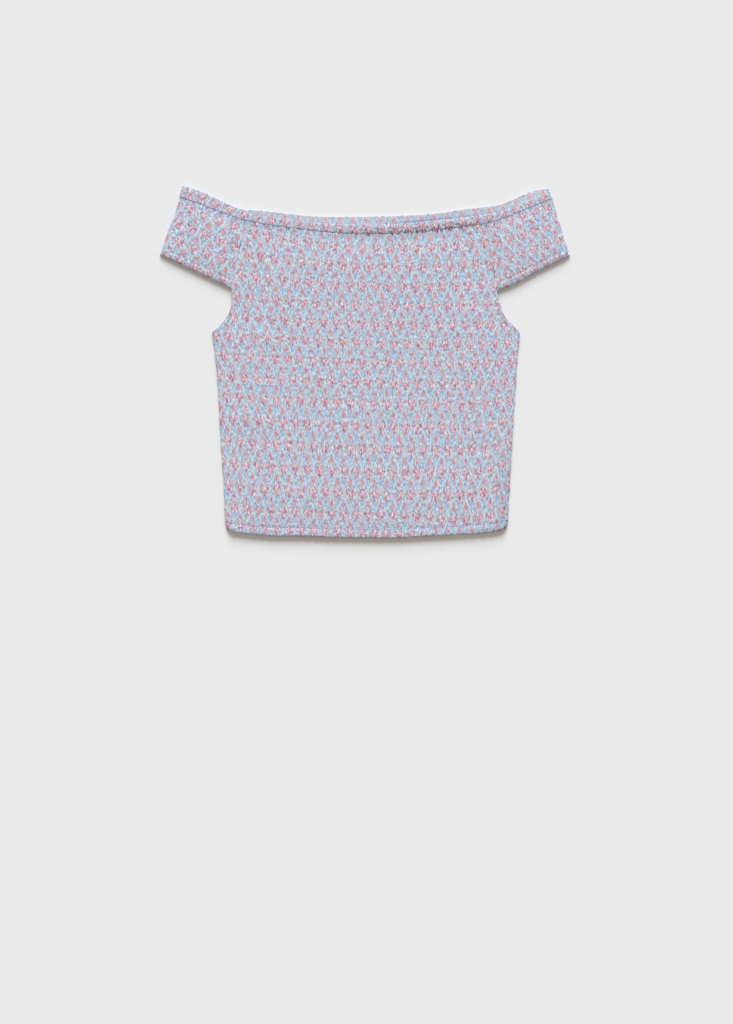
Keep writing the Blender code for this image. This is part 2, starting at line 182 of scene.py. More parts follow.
@dataclass(frozen=True)
class Smocking:
    """The net of raised lines that draws the jersey up, and the print that follows it.

    A place on the cloth has a column and a row. Cells have their middles at whole columns on even
    rows, and half a column aside on odd ones.

    Attributes:
        centre_x: Where column 0 lies.
        row_heights: Rows and their heights in the middle of the body.
        pitch: Spacing of the columns in the lower part.
        upper_extra: What the pitch gains under the neckline.
        fade_rows: Rows over which it loses that again.
        ridge: Height of the raised lines.
        ridge_width: Their half width.
        puff: How far the cloth swells inside each cell.
        puff_start: How far from the lines it begins to swell, in their half widths.
        row_pitch: Mean spacing of the rows.
        tilt: Rows by which the print rises a millimetre to the right, below 0 where it sinks.
        side_lift: Rows by which it is drawn up at the foot of the right side.
        lift_x: Over which x it is drawn up.
        lift_rows: Over which rows it is drawn up.
        hem_sink: Rows by which it runs down into the right half of the hem.
        sink_x: Over which x it begins to run down.
        sink_rows: Over which rows it runs down.
    """

    centre_x: float = -3.0
    row_heights: Table = (
        (-2.0, 172.0), (-1.0, 150.0), (0.0, 129.2), (1.0, 108.2), (3.0, 65.0), (5.0, 23.0),
        (7.0, -21.7), (8.0, -44.8), (9.0, -70.5), (10.0, -96.5), (11.0, -121.9), (12.0, -147.2),
        (13.0, -171.3), (14.0, -191.2), (14.25, -196.7),
    )
    pitch: float = 13.7
    upper_extra: float = 1.5
    fade_rows: float = 5.0
    ridge: float = 0.7
    ridge_width: float = 1.5
    puff: float = 0.38
    puff_start: float = 1.9
    row_pitch: float = 22.0
    tilt: float = -0.0013
    side_lift: float = 0.36
    lift_x: Pair = (105.0, 162.0)
    lift_rows: Pair = (3.0, 12.0)
    hem_sink: float = 0.36
    sink_x: Pair = (40.0, 100.0)
    sink_rows: Pair = (12.0, 14.0)

    def pitch_at(self, row: Array) -> Array:
        """Spacing of the columns at a row."""
        return self.pitch + self.upper_extra * bell(np.maximum(row, 0.0), self.fade_rows)

    def print_at(self, x: Array, row: Array) -> tuple[Array, Array]:
        """Finds the print along a row of the cloth.

        Args:
            x: Places along it.
            row: The row.

        Returns:
            Column and row of the print.
        """
        lift = self.side_lift * ease(x, *self.lift_x) ** 2 * ease(row, *self.lift_rows)
        sink = self.hem_sink * ease(x, *self.sink_x) * ease(row, *self.sink_rows)
        return (x - self.centre_x) / self.pitch_at(row), row + self.tilt * x + lift - sink

    def row_middle(self, row: Array) -> Array:
        """Height of a row in the middle of the body."""
        return np.interp(row, *np.array(self.row_heights).T)

    def row_of(self, y: float) -> float:
        """Row whose middle lies at a height."""
        rows, heights = np.array(self.row_heights).T
        return float(np.interp(-y, -heights, rows))

    def relief(self, column: Array, row: Array) -> Array:
        """Height of the smocked surface over its lowest level.

        Args:
            column: Column numbers of the points.
            row: Row numbers of the points.

        Returns:
            Heights in millimetres.
        """
        x = (column + 0.5) % 1.0 - 0.5
        y = ((row / 2 + 0.5) % 1.0 - 0.5) * 2
        reach = 0.25 * (1 + np.cos(np.pi * y))
        slant = 0.25 * np.pi * np.sin(np.pi * y) * self.pitch / self.row_pitch
        away = np.abs(np.abs(x) - reach) * self.pitch / np.sqrt(1 + slant**2)
        line = bell(away, self.ridge_width)
        inside = 1 - bell(away, self.puff_start * self.ridge_width)
        return self.ridge * line + self.puff * inside


@dataclass(frozen=True)
class Layers:
    """How the cloth and its layers lie on each other.

    Attributes:
        wall: Thickness of the jersey.
        gap: Between two layers or two pieces.
        loft: Swell of an upper layer in its middle.
        edge_height: What is left of the wall at an open edge.
        seam_height: What is left of it at a seam.
        tongue: What is left of it under the casing.
        tongue_reach: Distances from its top edge over which the tongue thickens to the wall.
    """

    wall: float = 1.5
    gap: float = 0.3
    loft: float = 1.1
    edge_height: float = 0.45
    seam_height: float = 1.75
    tongue: float = 1.55
    tongue_reach: Pair = (0.9, 3.2)

    def under_casing(self, height: Array, distance: Array) -> Array:
        """Thins a wall's height down to its tongue near the neckline."""
        return self.tongue + (height - self.tongue) * ease(distance, *self.tongue_reach)

    def lowest(self, held: Array) -> Array:
        """Height left at an edge, from open where held is 0 to sewn where it is 1."""
        return self.edge_height + (self.seam_height - self.edge_height) * held

    @property
    def upper_inside(self) -> float:
        """Inside of the upper layer."""
        return self.wall + self.gap

    @property
    def upper_outside(self) -> float:
        """Outside of the upper layer."""
        return self.upper_inside + self.wall

    @property
    def middle(self) -> float:
        """Half-way between the layers."""
        return self.wall + self.gap / 2


@dataclass(frozen=True)
class Neckline:
    """One run of the neck casing, from the left sleeve's fold to the right one's.

    Attributes:
        rows: Its x, the height of its top edge, and its width.
        tuck: How far the panels reach up under the casing, below 0 for a gap.
        past_tip: How far the stitch line is carried on past both tips.
    """

    rows: tuple[Triple, ...]
    tuck: float = -0.15
    past_tip: float = 12.0

    @property
    def table(self) -> Array:
        """The rows as an array."""
        return np.array(self.rows)

    def edge(self, x: Array) -> tuple[Array, Array]:
        """Height and slope of the top edge over x."""
        slopes = np.gradient(self.table[:, 1], self.table[:, 0])
        return smooth_through(*self.table[:, :2].T, x), smooth_through(self.table[:, 0], slopes, x)

    def width(self, x: Array) -> Array:
        """Width of the casing at x."""
        return smooth_through(self.table[:, 0], self.table[:, 2], x)

    def stitches(self, steps: int = 160) -> Array:
        """Moves the top edge in by the casing's width.

        Args:
            steps: How many points it is read at.

        Returns:
            Points of the stitch line, carried on past both tips.
        """
        x = np.linspace(self.table[0, 0], self.table[-1, 0], steps)
        y, slope = self.edge(x)
        reach = self.width(x) / np.hypot(slope, 1.0)
        line = np.stack([x + slope * reach, y - reach], axis=1)
        before = line[0] - self.past_tip * np.array((1.0, slope[0]))
        after = line[-1] + self.past_tip * np.array((1.0, slope[-1]))
        return np.vstack([before, line, after])

    def panel_y(self, x: Array) -> Array:
        """Top edge of the panels under the casing, over x."""
        return np.interp(x, *self.stitches().T) + self.tuck


FRONT_NECK = Neckline(
    (  # x, top edge y, width
        (-203.0, 198.6, 12.4), (-185.0, 192.8, 12.4), (-167.0, 184.6, 11.4), (-150.0, 176.9, 9.9),
        (-134.5, 169.7, 7.9), (-95.0, 162.5, 8.0), (-61.0, 158.2, 8.3), (-28.0, 155.9, 9.4),
        (2.0, 155.5, 9.8), (40.0, 156.6, 9.9), (80.0, 160.4, 11.0), (107.0, 163.0, 10.0),
        (137.0, 167.0, 9.0), (157.0, 171.8, 7.8), (175.0, 178.5, 6.8), (206.6, 190.2, 6.0),
    ),
    tuck=1.2,
)

BACK_NECK = Neckline(
    (  # x, top edge y, width
        (-203.0, 198.3, 12.2), (-185.0, 192.5, 12.2), (-167.0, 184.3, 11.0), (-150.0, 177.1, 9.6),
        (-139.0, 173.0, 8.8), (-118.0, 171.6, 9.5), (-95.0, 169.0, 10.0), (-55.0, 165.0, 10.0),
        (2.0, 164.7, 10.0), (53.0, 166.2, 10.0), (80.0, 168.2, 10.0), (107.0, 172.0, 10.0),
        (135.0, 175.6, 10.0), (147.0, 176.9, 10.0), (161.0, 181.4, 10.0), (179.0, 189.2, 9.5),
        (193.0, 194.2, 9.5), (206.3, 196.2, 9.5),
    )
)


@dataclass(frozen=True)
class BodyCut:
    """Outline of front and back, and the rows of smocking across them.

    Attributes:
        smocking: Its net and its print.
        upper_sides: Height, left x and right x of the sleeve seams and armholes.
        lower_sides: The same of the side seams and the hem's round corners.
        hem_rise: Over x, how far the hem rises above its lowest point.
        hem_row: Row at the hem's lowest point.
        hem_free_row: Last row that the hem's curve doesn't reach.
        hem_growth: Power with which the hem's curve grows from there down.
        neck_rows: Rows over which the neckline's curve is lost.
        ripple: How far the side edges swell and sink with the rows.
        rounds: Steps in which a row's ends are found.
        area_rows: Strips into which the area is cut.
    """

    smocking: Smocking = field(default_factory=Smocking)
    upper_sides: tuple[Triple, ...] = (
        (170.0, -132.7, 134.7), (126.0, -141.2, 141.7), (82.0, -149.8, 148.8),
        (65.0, -149.9, 153.0), (54.0, -153.8, 156.9), (48.0, -157.5, 160.8), (42.5, -162.7, 166.9),
        (35.0, -171.5, 174.5),
    )
    lower_sides: tuple[Triple, ...] = (
        (35.0, -171.5, 174.5), (28.0, -170.3, 173.9), (3.6, -167.1, 171.3), (-23.4, -164.9, 169.8),
        (-50.4, -163.5, 167.8), (-77.4, -162.0, 166.6), (-104.4, -160.4, 164.8),
        (-131.4, -158.3, 163.5), (-158.4, -157.2, 161.6), (-180.0, -156.0, 160.4),
        (-184.5, -155.0, 159.0), (-187.5, -152.8, 155.5), (-189.6, -149.5, 150.0),
    )
    hem_rise: Table = (
        (-172.0, 9.3), (-151.0, 7.1), (-138.0, 5.1), (-124.0, 3.7), (-104.0, 2.2), (-70.0, 2.0),
        (-43.0, 0.8), (2.0, 0.1), (38.0, 0.1), (65.0, 1.6), (92.0, 3.0), (118.0, 4.5), (132.0, 5.4),
        (146.0, 6.9), (175.0, 10.0),
    )
    hem_row: float = 14.25
    hem_free_row: float = 3.0
    hem_growth: float = 1.5
    neck_rows: float = 2.8
    ripple: float = 0.45
    rounds: int = 8
    area_rows: int = 200

    def side_x(self, y: Array, column: int) -> Array:
        """Finds one side edge.

        Args:
            y: Heights.
            column: 1 for the left edge, 2 for the right one.

        Returns:
            x of the edge at these heights.
        """
        upper, lower = np.array(self.upper_sides), np.array(self.lower_sides)
        above = smooth_through(-upper[:, 0], upper[:, column], -y)
        below = smooth_through(-lower[:, 0], lower[:, column], -y)
        return np.where(y > lower[0, 0], above, below)

    def hem_y(self, x: Array) -> Array:
        """Height of the hem over x."""
        lowest = self.smocking.row_middle(np.array(self.hem_row))
        return lowest + read_over(x, self.hem_rise)

    def row_y(self, row: Array, x: Array, neck: Neckline) -> Array:
        """Finds a row, which follows the neckline near the top and the hem below.

        Args:
            row: Its number.
            x: Places along it.
            neck: The neckline of its panel.

        Returns:
            Its heights.
        """
        seam_left, seam_right = self.upper_sides[0][1:]
        sag = neck.panel_y(np.clip(x, seam_left, seam_right)) - neck.panel_y(self.smocking.centre_x)
        neck_share = np.exp(-np.maximum(row, 0.0) / self.neck_rows)
        from_free_row = (row - self.hem_free_row) / (self.hem_row - self.hem_free_row)
        hem_share = np.clip(from_free_row, 0.0, 1.0) ** self.hem_growth
        return self.smocking.row_middle(row) + neck_share * sag + hem_share * read_over(x, self.hem_rise)

    def ends(self, row: Array, neck: Neckline) -> tuple[Array, Array]:
        """Finds where rows end at the side edges.

        Args:
            row: Their numbers.
            neck: The neckline of their panel.

        Returns:
            x of their left and right ends.
        """
        found = []
        for column in (1, 2):
            y = self.smocking.row_middle(row)
            for _ in range(self.rounds):
                x = self.side_x(y, column)
                y = self.row_y(row, x, neck)
            found.append(x)
        return found[0], found[1]

    def spread(self, left: Array, right: Array, columns: int, crowding: float) -> Array:
        """x of points spread across rows, crowded towards the sides by a share of the width."""
        share = np.linspace(0.0, 1.0, columns)[None, :]
        return left + (right - left) * (share - crowding * np.sin(2 * np.pi * share))

    def area(self, neck: Neckline) -> float:
        """Measures one panel.

        Args:
            neck: Its neckline.

        Returns:
            Its flat area in square metres.
        """
        row = np.linspace(self.smocking.row_of(float(neck.panel_y(0.0))), self.hem_row, self.area_rows)
        left, right = self.ends(row, neck)
        height = -np.gradient(self.smocking.row_middle(row))
        return float(((right - left) * height).sum()) * MM * MM


def mesh_object(name: str, points: Array, quads: Array, uv: Array, shade: Array | None = None) -> Piece:
    """Makes a smooth-shaded object from points, faces and a print map.

    Args:
        name: Name of the object.
        points: Points in millimetres, one row each.
        quads: Four point numbers a face, wound either way but all alike.
        uv: Column and row of the print at each face's corners.
        shade: Painted shade at each point, how far it is darkened, 0 to 1, and below 0 on a casing's grey
            rim.

    Returns:
        The object, its faces pointing out.
    """
    corners = points[quads]
    across, down = corners[:, 2] - corners[:, 0], corners[:, 3] - corners[:, 1]
    outward = (np.cross(across, down) * corners.mean(axis=1)).sum()
    if outward < 0:
        quads, uv = quads[:, ::-1], uv[:, ::-1]
    mesh = bpy.data.meshes.new(name)
    mesh.vertices.add(len(points))
    mesh.vertices.foreach_set("co", (points * MM).astype(np.float32).ravel())
    mesh.loops.add(quads.size)
    mesh.loops.foreach_set("vertex_index", quads.astype(np.int32).ravel())
    mesh.polygons.add(len(quads))
    mesh.polygons.foreach_set("loop_start", np.arange(0, quads.size, 4, dtype=np.int32))
    mesh.uv_layers.new(name="Print").data.foreach_set("uv", uv.astype(np.float32).ravel())
    # Painted shade, stored on the points for the materials to darken their colour.
    darkness = np.zeros(len(points)) if shade is None else shade
    mesh.attributes.new("Shade", "FLOAT", "POINT").data.foreach_set("value", darkness.astype(np.float32))
    mesh.update(calc_edges=True)
    mesh.validate()
    mesh.shade_smooth()
    mesh.set_sharp_from_angle(angle=CORNER_ANGLE)
    item = bpy.data.objects.new(name, mesh)
    bpy.context.scene.collection.objects.link(item)
    return item


def wall_object(name: str, over: Array, under: Array, uv: Array, shade: Array | None = None) -> Piece:
    """Closes two grids of points to one wall.

    Args:
        name: Name of the object.
        over: Outside, rows by columns by 3.
        under: Inside, with as many rows and columns.
        uv: Print column and row of the points, alike on both sides.
        shade: Painted shade, how far the outside's points are darkened.

    Returns:
        The wall as an object.
    """
    loops = np.concatenate([over, under[:, ::-1]], axis=1)
    maps = np.concatenate([uv, uv[:, ::-1]], axis=1)
    shade = np.zeros(over.shape[:2]) if shade is None else shade
    shade = np.concatenate([shade, 0 * shade], axis=1)
    rows, size = loops.shape[:2]
    number = np.arange(rows * size).reshape(rows, size)
    nxt = np.roll(number, -1, axis=1)
    sides = np.stack([number[:-1], number[1:], nxt[1:], nxt[:-1]], axis=-1).reshape(-1, 4)
    half = size // 2
    caps = []
    for ring, turned in ((number[0], False), (number[-1], True)):
        cap = np.stack(
            [ring[: half - 1], ring[1:half], ring[::-1][1:half], ring[::-1][: half - 1]], axis=-1
        )
        caps.append(cap[:, ::-1] if turned else cap)
    quads = np.vstack([sides, *caps])
    return mesh_object(name, loops.reshape(-1, 3), quads, maps.reshape(-1, 2)[quads], shade.ravel())


def ring_object(name: str, sections: Array, uv: Array, shade: Array) -> Piece:
    """Joins closed sections to a ring.

    Args:
        name: Name of the object.
        sections: Sections by points by 3, the last followed by the first.
        uv: Print column and row, with one more section and one more point each.
        shade: Painted shade, how far the points are darkened.

    Returns:
        The ring as an object.
    """
    count, size = sections.shape[:2]
    number = np.arange(count * size).reshape(count, size)
    number = np.pad(number, ((0, 1), (0, 1)), mode="wrap")
    places = np.arange((count + 1) * (size + 1)).reshape(count + 1, size + 1)
    corners = ((0, 0), (0, 1), (1, 1), (1, 0))

    def faces_of(grid: Array) -> Array:
        """Corner numbers of every face of a grid."""
        faces = [grid[a : a + count, b : b + size] for a, b in corners]
        return np.stack(faces, axis=-1).reshape(-1, 4)

    corners_uv = uv.reshape(-1, 2)[faces_of(places)]
    return mesh_object(name, sections.reshape(-1, 3), faces_of(number), corners_uv, shade.ravel())


@dataclass(frozen=True)
class Crease:
    """One soft fold, as a ridge or a trough along a slightly bent line.

    Attributes:
        start: Where it begins.
        end: Where it ends.
        width: Its half width.
        height: Its height, below 0 for a trough.
        bow: How far its middle bends aside.
        widening: Its width at the start and what it gains to the end, as shares.
        fade_in: Shares of its length over which it rises.
        fade_out: Shares of its length over which it is lost.
    """

    start: Pair
    end: Pair
    width: float
    height: float
    bow: float = 0.0
    widening: Pair = (0.7, 0.6)
    fade_in: Pair = (-0.15, 0.3)
    fade_out: Pair = (0.65, 1.15)

    def at(self, x: Array, y: Array) -> Array:
        """Finds what the fold adds.

        Args:
            x: x of the places.
            y: y of the places.

        Returns:
            Heights in millimetres.
        """
        a, b = np.array(self.start), np.array(self.end)
        length = float(np.hypot(*(b - a)))
        ahead = (b - a) / length
        s = ((x - a[0]) * ahead[0] + (y - a[1]) * ahead[1]) / length
        aside = (x - a[0]) * -ahead[1] + (y - a[1]) * ahead[0]
        bend = self.bow * np.sin(np.pi * np.clip(s, 0.0, 1.0))
        width = self.width * (self.widening[0] + self.widening[1] * np.clip(s, 0.0, 1.0))
        fade = ease(s, *self.fade_in) * (1 - ease(s, *self.fade_out))
        return self.height * fade * bell(aside - bend, width)


class Finish(Enum):
    """Finishes by the record's material slots."""

    SMOCKED = "smocked_print"
    CASING = "casing_print"


def dressed(item: Piece, material: Material, node: str) -> Piece:
    """Gives a piece its material and says which solid it stands for.

    Args:
        item: The piece.
        material: Its material.
        node: The solid that it replaces.

    Returns:
        The piece.
    """
    item.data.materials.append(material)
    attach(item, "root")
    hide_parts(node)
    LOG.info("%s: %d faces, for %s", item.name, len(item.data.polygons), node)
    return item


@dataclass
class HemmedCloth:
    """What front and sleeves share: smocked cloth with a turned hem, seamed at its sides.

    Attributes:
        cut: The body's outline, whose sleeve seams it follows.
        layers: How the layers lie on each other.
        creases: Its soft folds.
        crinkles: Small crinkles by their depths.
        hem_width: From the hem's edge to its stitches.
        hem_step: How far below its stitches the turned hem begins and is full.
        hem_lift: How far the turned hem stands up.
        hem_flattening: Share of the relief that is lost in the hem.
        neck_flattening: Share of it that is lost at the casing.
        seam_flattening: Share of the net that is lost at the sleeve seam.
        stitch_sink: How far the stitches pull the cloth in.
        stitch_width: Half width of the groove that they lie in.
        edge_roll: Width over which open edges roll down.
        seam_roll: The same at the sleeve seam.
    """

    cut: BodyCut = field(default_factory=BodyCut)
    layers: Layers = field(default_factory=Layers)
    creases: tuple[Crease, ...] = ()
    crinkles: Crinkles = ((0.15, Ripples(13, 3.6, 8.0)), (0.1, Ripples(14, 2.6, 4.0)))
    hem_width: float = 8.5
    hem_step: Pair = (4.0, 0.2)
    hem_lift: float = 0.8
    hem_flattening: float = 0.6
    neck_flattening: float = 0.6
    seam_flattening: float = 0.7
    stitch_sink: float = 0.4
    stitch_width: float = 0.9
    edge_roll: float = 2.0
    seam_roll: float = 1.4

    def in_hem(self, hem: Array) -> Array:
        """1 in the turned hem, 0 above its stitches, by the distance from its edge."""
        return 1 - ease(hem, *(self.hem_width - np.array(self.hem_step)))


@dataclass(frozen=True)
class Laid:
    """Points of the front and where they lie on it.

    Attributes:
        x: Their x.
        y: Their y.
        column: Their columns of the print.
        row: Their rows of the print.
        side: Their distances to the side edges.
        neck: Their distances to the neckline's stitches.
        hem: Their distances to the hem.
    """

    x: Array
    y: Array
    column: Array
    row: Array
    side: Array
    neck: Array
    hem: Array


@dataclass
class FrontPanel(HemmedCloth):
    """The smocked front: sleeve seams and armholes at its sides, a turned hem below.

    Attributes:
        rows: Rows of points down it.
        columns: Columns of points across it.
        crowding: How far the columns crowd towards the sides, as a share of the width.
        hem_points: Distances of the lowest rows of points from the hem's edge.
        seam_zone: Heights over which the armholes pass into the sleeve seams.
        armhole_zone: Heights over which the side seams pass into the armholes.
        swell_reach: Distances from side, hem and neck over which the upper layer swells.
        crease_reach: Distance from the sides over which the soft folds grow.
        hem_roll: Width over which the hem rolls down.
        hem_waves: How unevenly it stands up.
        neck_reach: How far down from the casing some relief is lost.
        seam_reach: Distances from the sleeve seams over which the net comes back.
        stitch_row: Row of the smocking that the hem's stitches lie on.
        rows_per_mm: Rows of smocking a millimetre at the hem.
        armhole_turn: Width of the armholes' turned edge.
        armhole_step: Width of the step at its inner side.
        armhole_lift: How far it stands up.
        armhole_sink: How far its stitches pull the cloth in.
        pleats: The small pleats under the casing, over columns and rows.
        gather: Their depth.
        gather_length: How far down they run.
    """

    rows: int = 196
    columns: int = 214
    crowding: float = 0.03
    hem_points: tuple[float, ...] = (2.2, 1.5, 1.0, 0.6, 0.3, 0.1, 0.0)
    seam_zone: Pair = (78.0, 86.0)
    armhole_zone: Pair = (34.0, 42.0)
    swell_reach: Triple = (60.0, 50.0, 40.0)
    crease_reach: float = 16.0
    edge_roll: float = 2.6
    hem_roll: float = 1.5
    seam_roll: float = 1.6
    hem_width: float = 9.8
    hem_step: Pair = (7.0, 0.4)
    hem_lift: float = 1.6
    hem_waves: Crinkles = ((0.35, Ripples(6, 7.0, 40.0)),)
    hem_flattening: float = 0.55
    neck_flattening: float = 0.65
    neck_reach: float = 9.0
    seam_reach: Pair = (1.0, 9.0)
    crinkles: Crinkles = ((0.16, Ripples(3, 3.4, 9.0)), (0.12, Ripples(4, 2.6, 4.0)))
    stitch_row: float = 13.77
    rows_per_mm: float = 0.0455
    armhole_turn: float = 5.0
    armhole_step: float = 1.2
    armhole_lift: float = 0.3
    armhole_sink: float = 0.4
    pleats: Ripples = Ripples(5, 0.55, 9.0, 10)
    gather: float = 0.45
    gather_length: float = 26.0
    creases: tuple[Crease, ...] = (
        Crease((-128.0, 150.0), (-96.0, 60.0), 5.0, 0.5, 4.0),
        Crease((-112.0, 152.0), (-88.0, 96.0), 4.0, -0.5, 2.0),
        Crease((-70.0, 148.0), (-62.0, 84.0), 5.0, 0.4, -2.0),
        Crease((28.0, 146.0), (36.0, 92.0), 4.5, -0.45, 2.0),
        Crease((74.0, 148.0), (62.0, 70.0), 5.5, 0.5, -3.0),
        Crease((118.0, 150.0), (104.0, 78.0), 4.5, -0.5, 3.0),
        Crease((140.0, 60.0), (84.0, 18.0), 7.0, 0.45, -4.0),
        Crease((-140.0, 44.0), (-92.0, 12.0), 7.0, 0.4, 4.0),
        Crease((-156.0, -60.0), (-96.0, -72.0), 8.0, 0.35, 3.0),
        Crease((154.0, -96.0), (92.0, -110.0), 8.0, -0.35, -3.0),
        Crease((-30.0, -120.0), (40.0, -132.0), 9.0, 0.3, 4.0),
    )

    def laid(self, x: Array, y: Array, row: Array) -> Laid:
        """Finds where points lie on the panel.

        Args:
            x: x of the points.
            y: y of the points.
            row: Their rows of the smocking.

        Returns:
            The points with their print and their distances to the edges.
        """
        near = []
        step = 0.5
        for column, sign in ((1, 1.0), (2, -1.0)):
            slope = (self.cut.side_x(y + step, column) - self.cut.side_x(y - step, column)) / (2 * step)
            inside = (x - self.cut.side_x(y, column)) * sign
            near.append(np.maximum(inside, 0.0) / np.sqrt(1 + slope**2))
        return Laid(
            x,
            y,
            *self.cut.smocking.print_at(x, row),
            side=np.minimum(*near),
            neck=np.maximum(FRONT_NECK.panel_y(x) - y, 0.0),
            hem=np.maximum(y - self.cut.hem_y(x), 0.0),
        )

    def grid(self) -> Laid:
        """Lays out all its points.

        Returns:
            The points, rows from the neck down.
        """
        net = self.cut.smocking
        top = net.row_of(float(FRONT_NECK.panel_y(net.centre_x)))
        near_hem = self.cut.hem_row - np.array(self.hem_points) * self.rows_per_mm
        row = np.linspace(top, near_hem[0], self.rows)
        row = np.concatenate([row, near_hem[1:]])[:, None]
        left, right = self.cut.ends(row, FRONT_NECK)
        wave = self.cut.ripple * np.cos(2 * np.pi * row)
        x = self.cut.spread(left - wave, right + wave, self.columns, self.crowding)
        return self.laid(x, self.cut.row_y(row, x, FRONT_NECK), row)

    def swell(self, at: Laid) -> Array:
        """Finds how far the upper layer stands off the back, with its soft folds.

        Args:
            at: Its points.

        Returns:
            Heights that inside and outside share.
        """
        from_side, from_hem, from_neck = self.swell_reach
        swell = self.layers.loft * ease(at.side, 0.0, from_side)
        swell = swell * ease(at.hem, 0.0, from_hem) * ease(at.neck, 0.0, from_neck)
        for crease in self.creases:
            swell = swell + crease.at(at.x, at.y) * ease(at.side, 0.0, self.crease_reach)
        return swell

    def relief(self, at: Laid) -> Array:
        """Finds the relief of the cloth: net, crinkles, pleats, hem and turned armholes.

        Args:
            at: Its points.

        Returns:
            Heights over the plain wall.
        """
        seam = ease(at.y, *self.seam_zone)
        armhole = ease(at.y, *self.armhole_zone) * (1 - seam)
        in_hem = self.in_hem(at.hem)
        strength = 1 - self.neck_flattening * (1 - ease(at.neck, 0.0, self.neck_reach))
        strength = strength * (1 - self.hem_flattening * in_hem)
        strength = strength * (1 - self.seam_flattening * seam * (1 - ease(at.side, *self.seam_reach)))
        relief = self.cut.smocking.relief(at.column, at.row) * strength
        relief = relief + crinkled(self.crinkles, at.x, at.y)
        pleats = self.pleats.at(at.column, at.row) * (1 - ease(at.neck, 2.0, self.gather_length))
        relief = relief + self.gather * pleats
        relief = relief + self.hem_lift * in_hem * (1 + crinkled(self.hem_waves, at.x, at.hem))
        relief = relief - self.stitch_sink * bell(at.hem - self.hem_width, self.stitch_width)
        turned = 1 - ease(at.side, self.armhole_turn - self.armhole_step, self.armhole_turn)
        groove = bell(at.side - self.armhole_turn, self.stitch_width)
        return relief + armhole * (self.armhole_lift * turned - self.armhole_sink * groove)

    def faces(self, at: Laid) -> tuple[Array, Array]:
        """Finds the heights of both faces of the cloth.

        Args:
            at: Its points.

        Returns:
            Heights of the outside and of the inside.
        """
        seam = ease(at.y, *self.seam_zone)
        inside = self.layers.upper_inside + self.swell(at)
        low = self.layers.lowest(seam)
        side_roll = np.where(seam > 0.5, rolled(at.side, self.seam_roll), rolled(at.side, self.edge_roll))
        shape = np.minimum(side_roll, rolled(at.hem, self.hem_roll))
        height = low + (self.layers.wall + self.relief(at) - low) * shape
        height = np.maximum(height, self.layers.edge_height)
        return inside + self.layers.under_casing(height, at.neck), inside

    def shade(self, at: Laid) -> Array:
        """Finds the cloth's painted shade: under the casing, along hem and armholes, and low at the right
        where it turns down.

        Args:
            at: Its points.

        Returns:
            Shares, 0 to 1.
        """
        # Painted shade along the hem band, under the casing, on the armholes' rims and low at the right
        # side where the cloth turns down.
        band = ease(at.hem, 1.0, 3.0) * (1 - ease(at.hem, self.hem_width - 2.5, self.hem_width))
        under = (1 - ease(at.neck, 3.0, 9.0)) * bell(at.x - 25.0, 75.0)
        rim = (1 - ease(at.side, 0.6, 2.4)) * (at.y < 60.0) * (at.y > 30.0)
        strip = 1 - ease(at.neck, 3.0, 11.0)
        low_right = ease(at.x, 0.0, 100.0) * (1 - ease(at.y, -150.0, -60.0))
        turning = (1 - ease(at.side, 0.0, 22.0)) * low_right
        at_neck = np.maximum(0.42 * under, 0.24 * strip)
        return np.clip(0.36 * band + at_neck + 0.6 * rim + 0.25 * turning, 0.0, 1.0)

    def build(self, material: Material) -> Piece:
        """Makes the front and gives it its material.

        Args:
            material: Its finish.

        Returns:
            The piece.
        """
        at = self.grid()
        over, under = (np.stack([at.x, at.y, height], axis=-1) for height in self.faces(at))
        uv = np.stack([at.column, at.row], axis=-1)
        item = wall_object("front_panel", over, under, uv, self.shade(at))
        dressed(item, material, "front")
        self.cut.area(FRONT_NECK)
        return item


@dataclass
class BackPanel:
    """The back, flat on the floor, the inside of it up.

    Attributes:
        cut: Its outline.
        layers: How it lies.
        rows: Rows of points down it.
        columns: Columns of points across it.
        crowding: How far the columns crowd towards the sides, as a share of the width.
        edge_roll: Width over which its edges turn up.
        edge_rise: How far they turn up.
        edge_thinning: How far their inside sinks.
    """

    cut: BodyCut = field(default_factory=BodyCut)
    layers: Layers = field(default_factory=Layers)
    rows: int = 120
    columns: int = 110
    crowding: float = 0.06
    edge_roll: float = 2.6
    edge_rise: float = 0.5
    edge_thinning: float = 0.25

    def build(self, material: Material) -> Piece:
        """Makes the back and gives it its material.

        Args:
            material: Its finish.

        Returns:
            The piece.
        """
        net = self.cut.smocking
        top = net.row_of(float(BACK_NECK.panel_y(net.centre_x)))
        row = np.linspace(top, self.cut.hem_row, self.rows)[:, None]
        left, right = self.cut.ends(row, BACK_NECK)
        x = self.cut.spread(left, right, self.columns, self.crowding)
        y = self.cut.row_y(row, x, BACK_NECK)
        side = np.minimum(x - left, right - x)
        hem = np.maximum(y - self.cut.hem_y(x), 0.0)
        turned = 1 - rolled(np.minimum(side, hem), self.edge_roll)
        under = np.stack([x, y, self.edge_rise * turned], axis=-1)
        over = np.stack([x, y, self.layers.wall - self.edge_thinning * turned], axis=-1)
        uv = np.stack(net.print_at(x, row), axis=-1)
        item = wall_object("back_panel", over, under, uv)
        dressed(item, material, "back")
        self.cut.area(BACK_NECK)
        return item


class Side(Enum):
    """Which sleeve, as the viewer sees it."""

    LEFT = -1
    RIGHT = 1


@dataclass(frozen=True)
class Margins:
    """Distances of a sleeve's points from its edges.

    Attributes:
        seam: From the sleeve seam, one row of points.
        fold: From the outer fold, one row of points.
        top: From the casing, one column of points.
        hem: From the hem, one column of points.
    """

    seam: Array
    fold: Array
    top: Array
    hem: Array


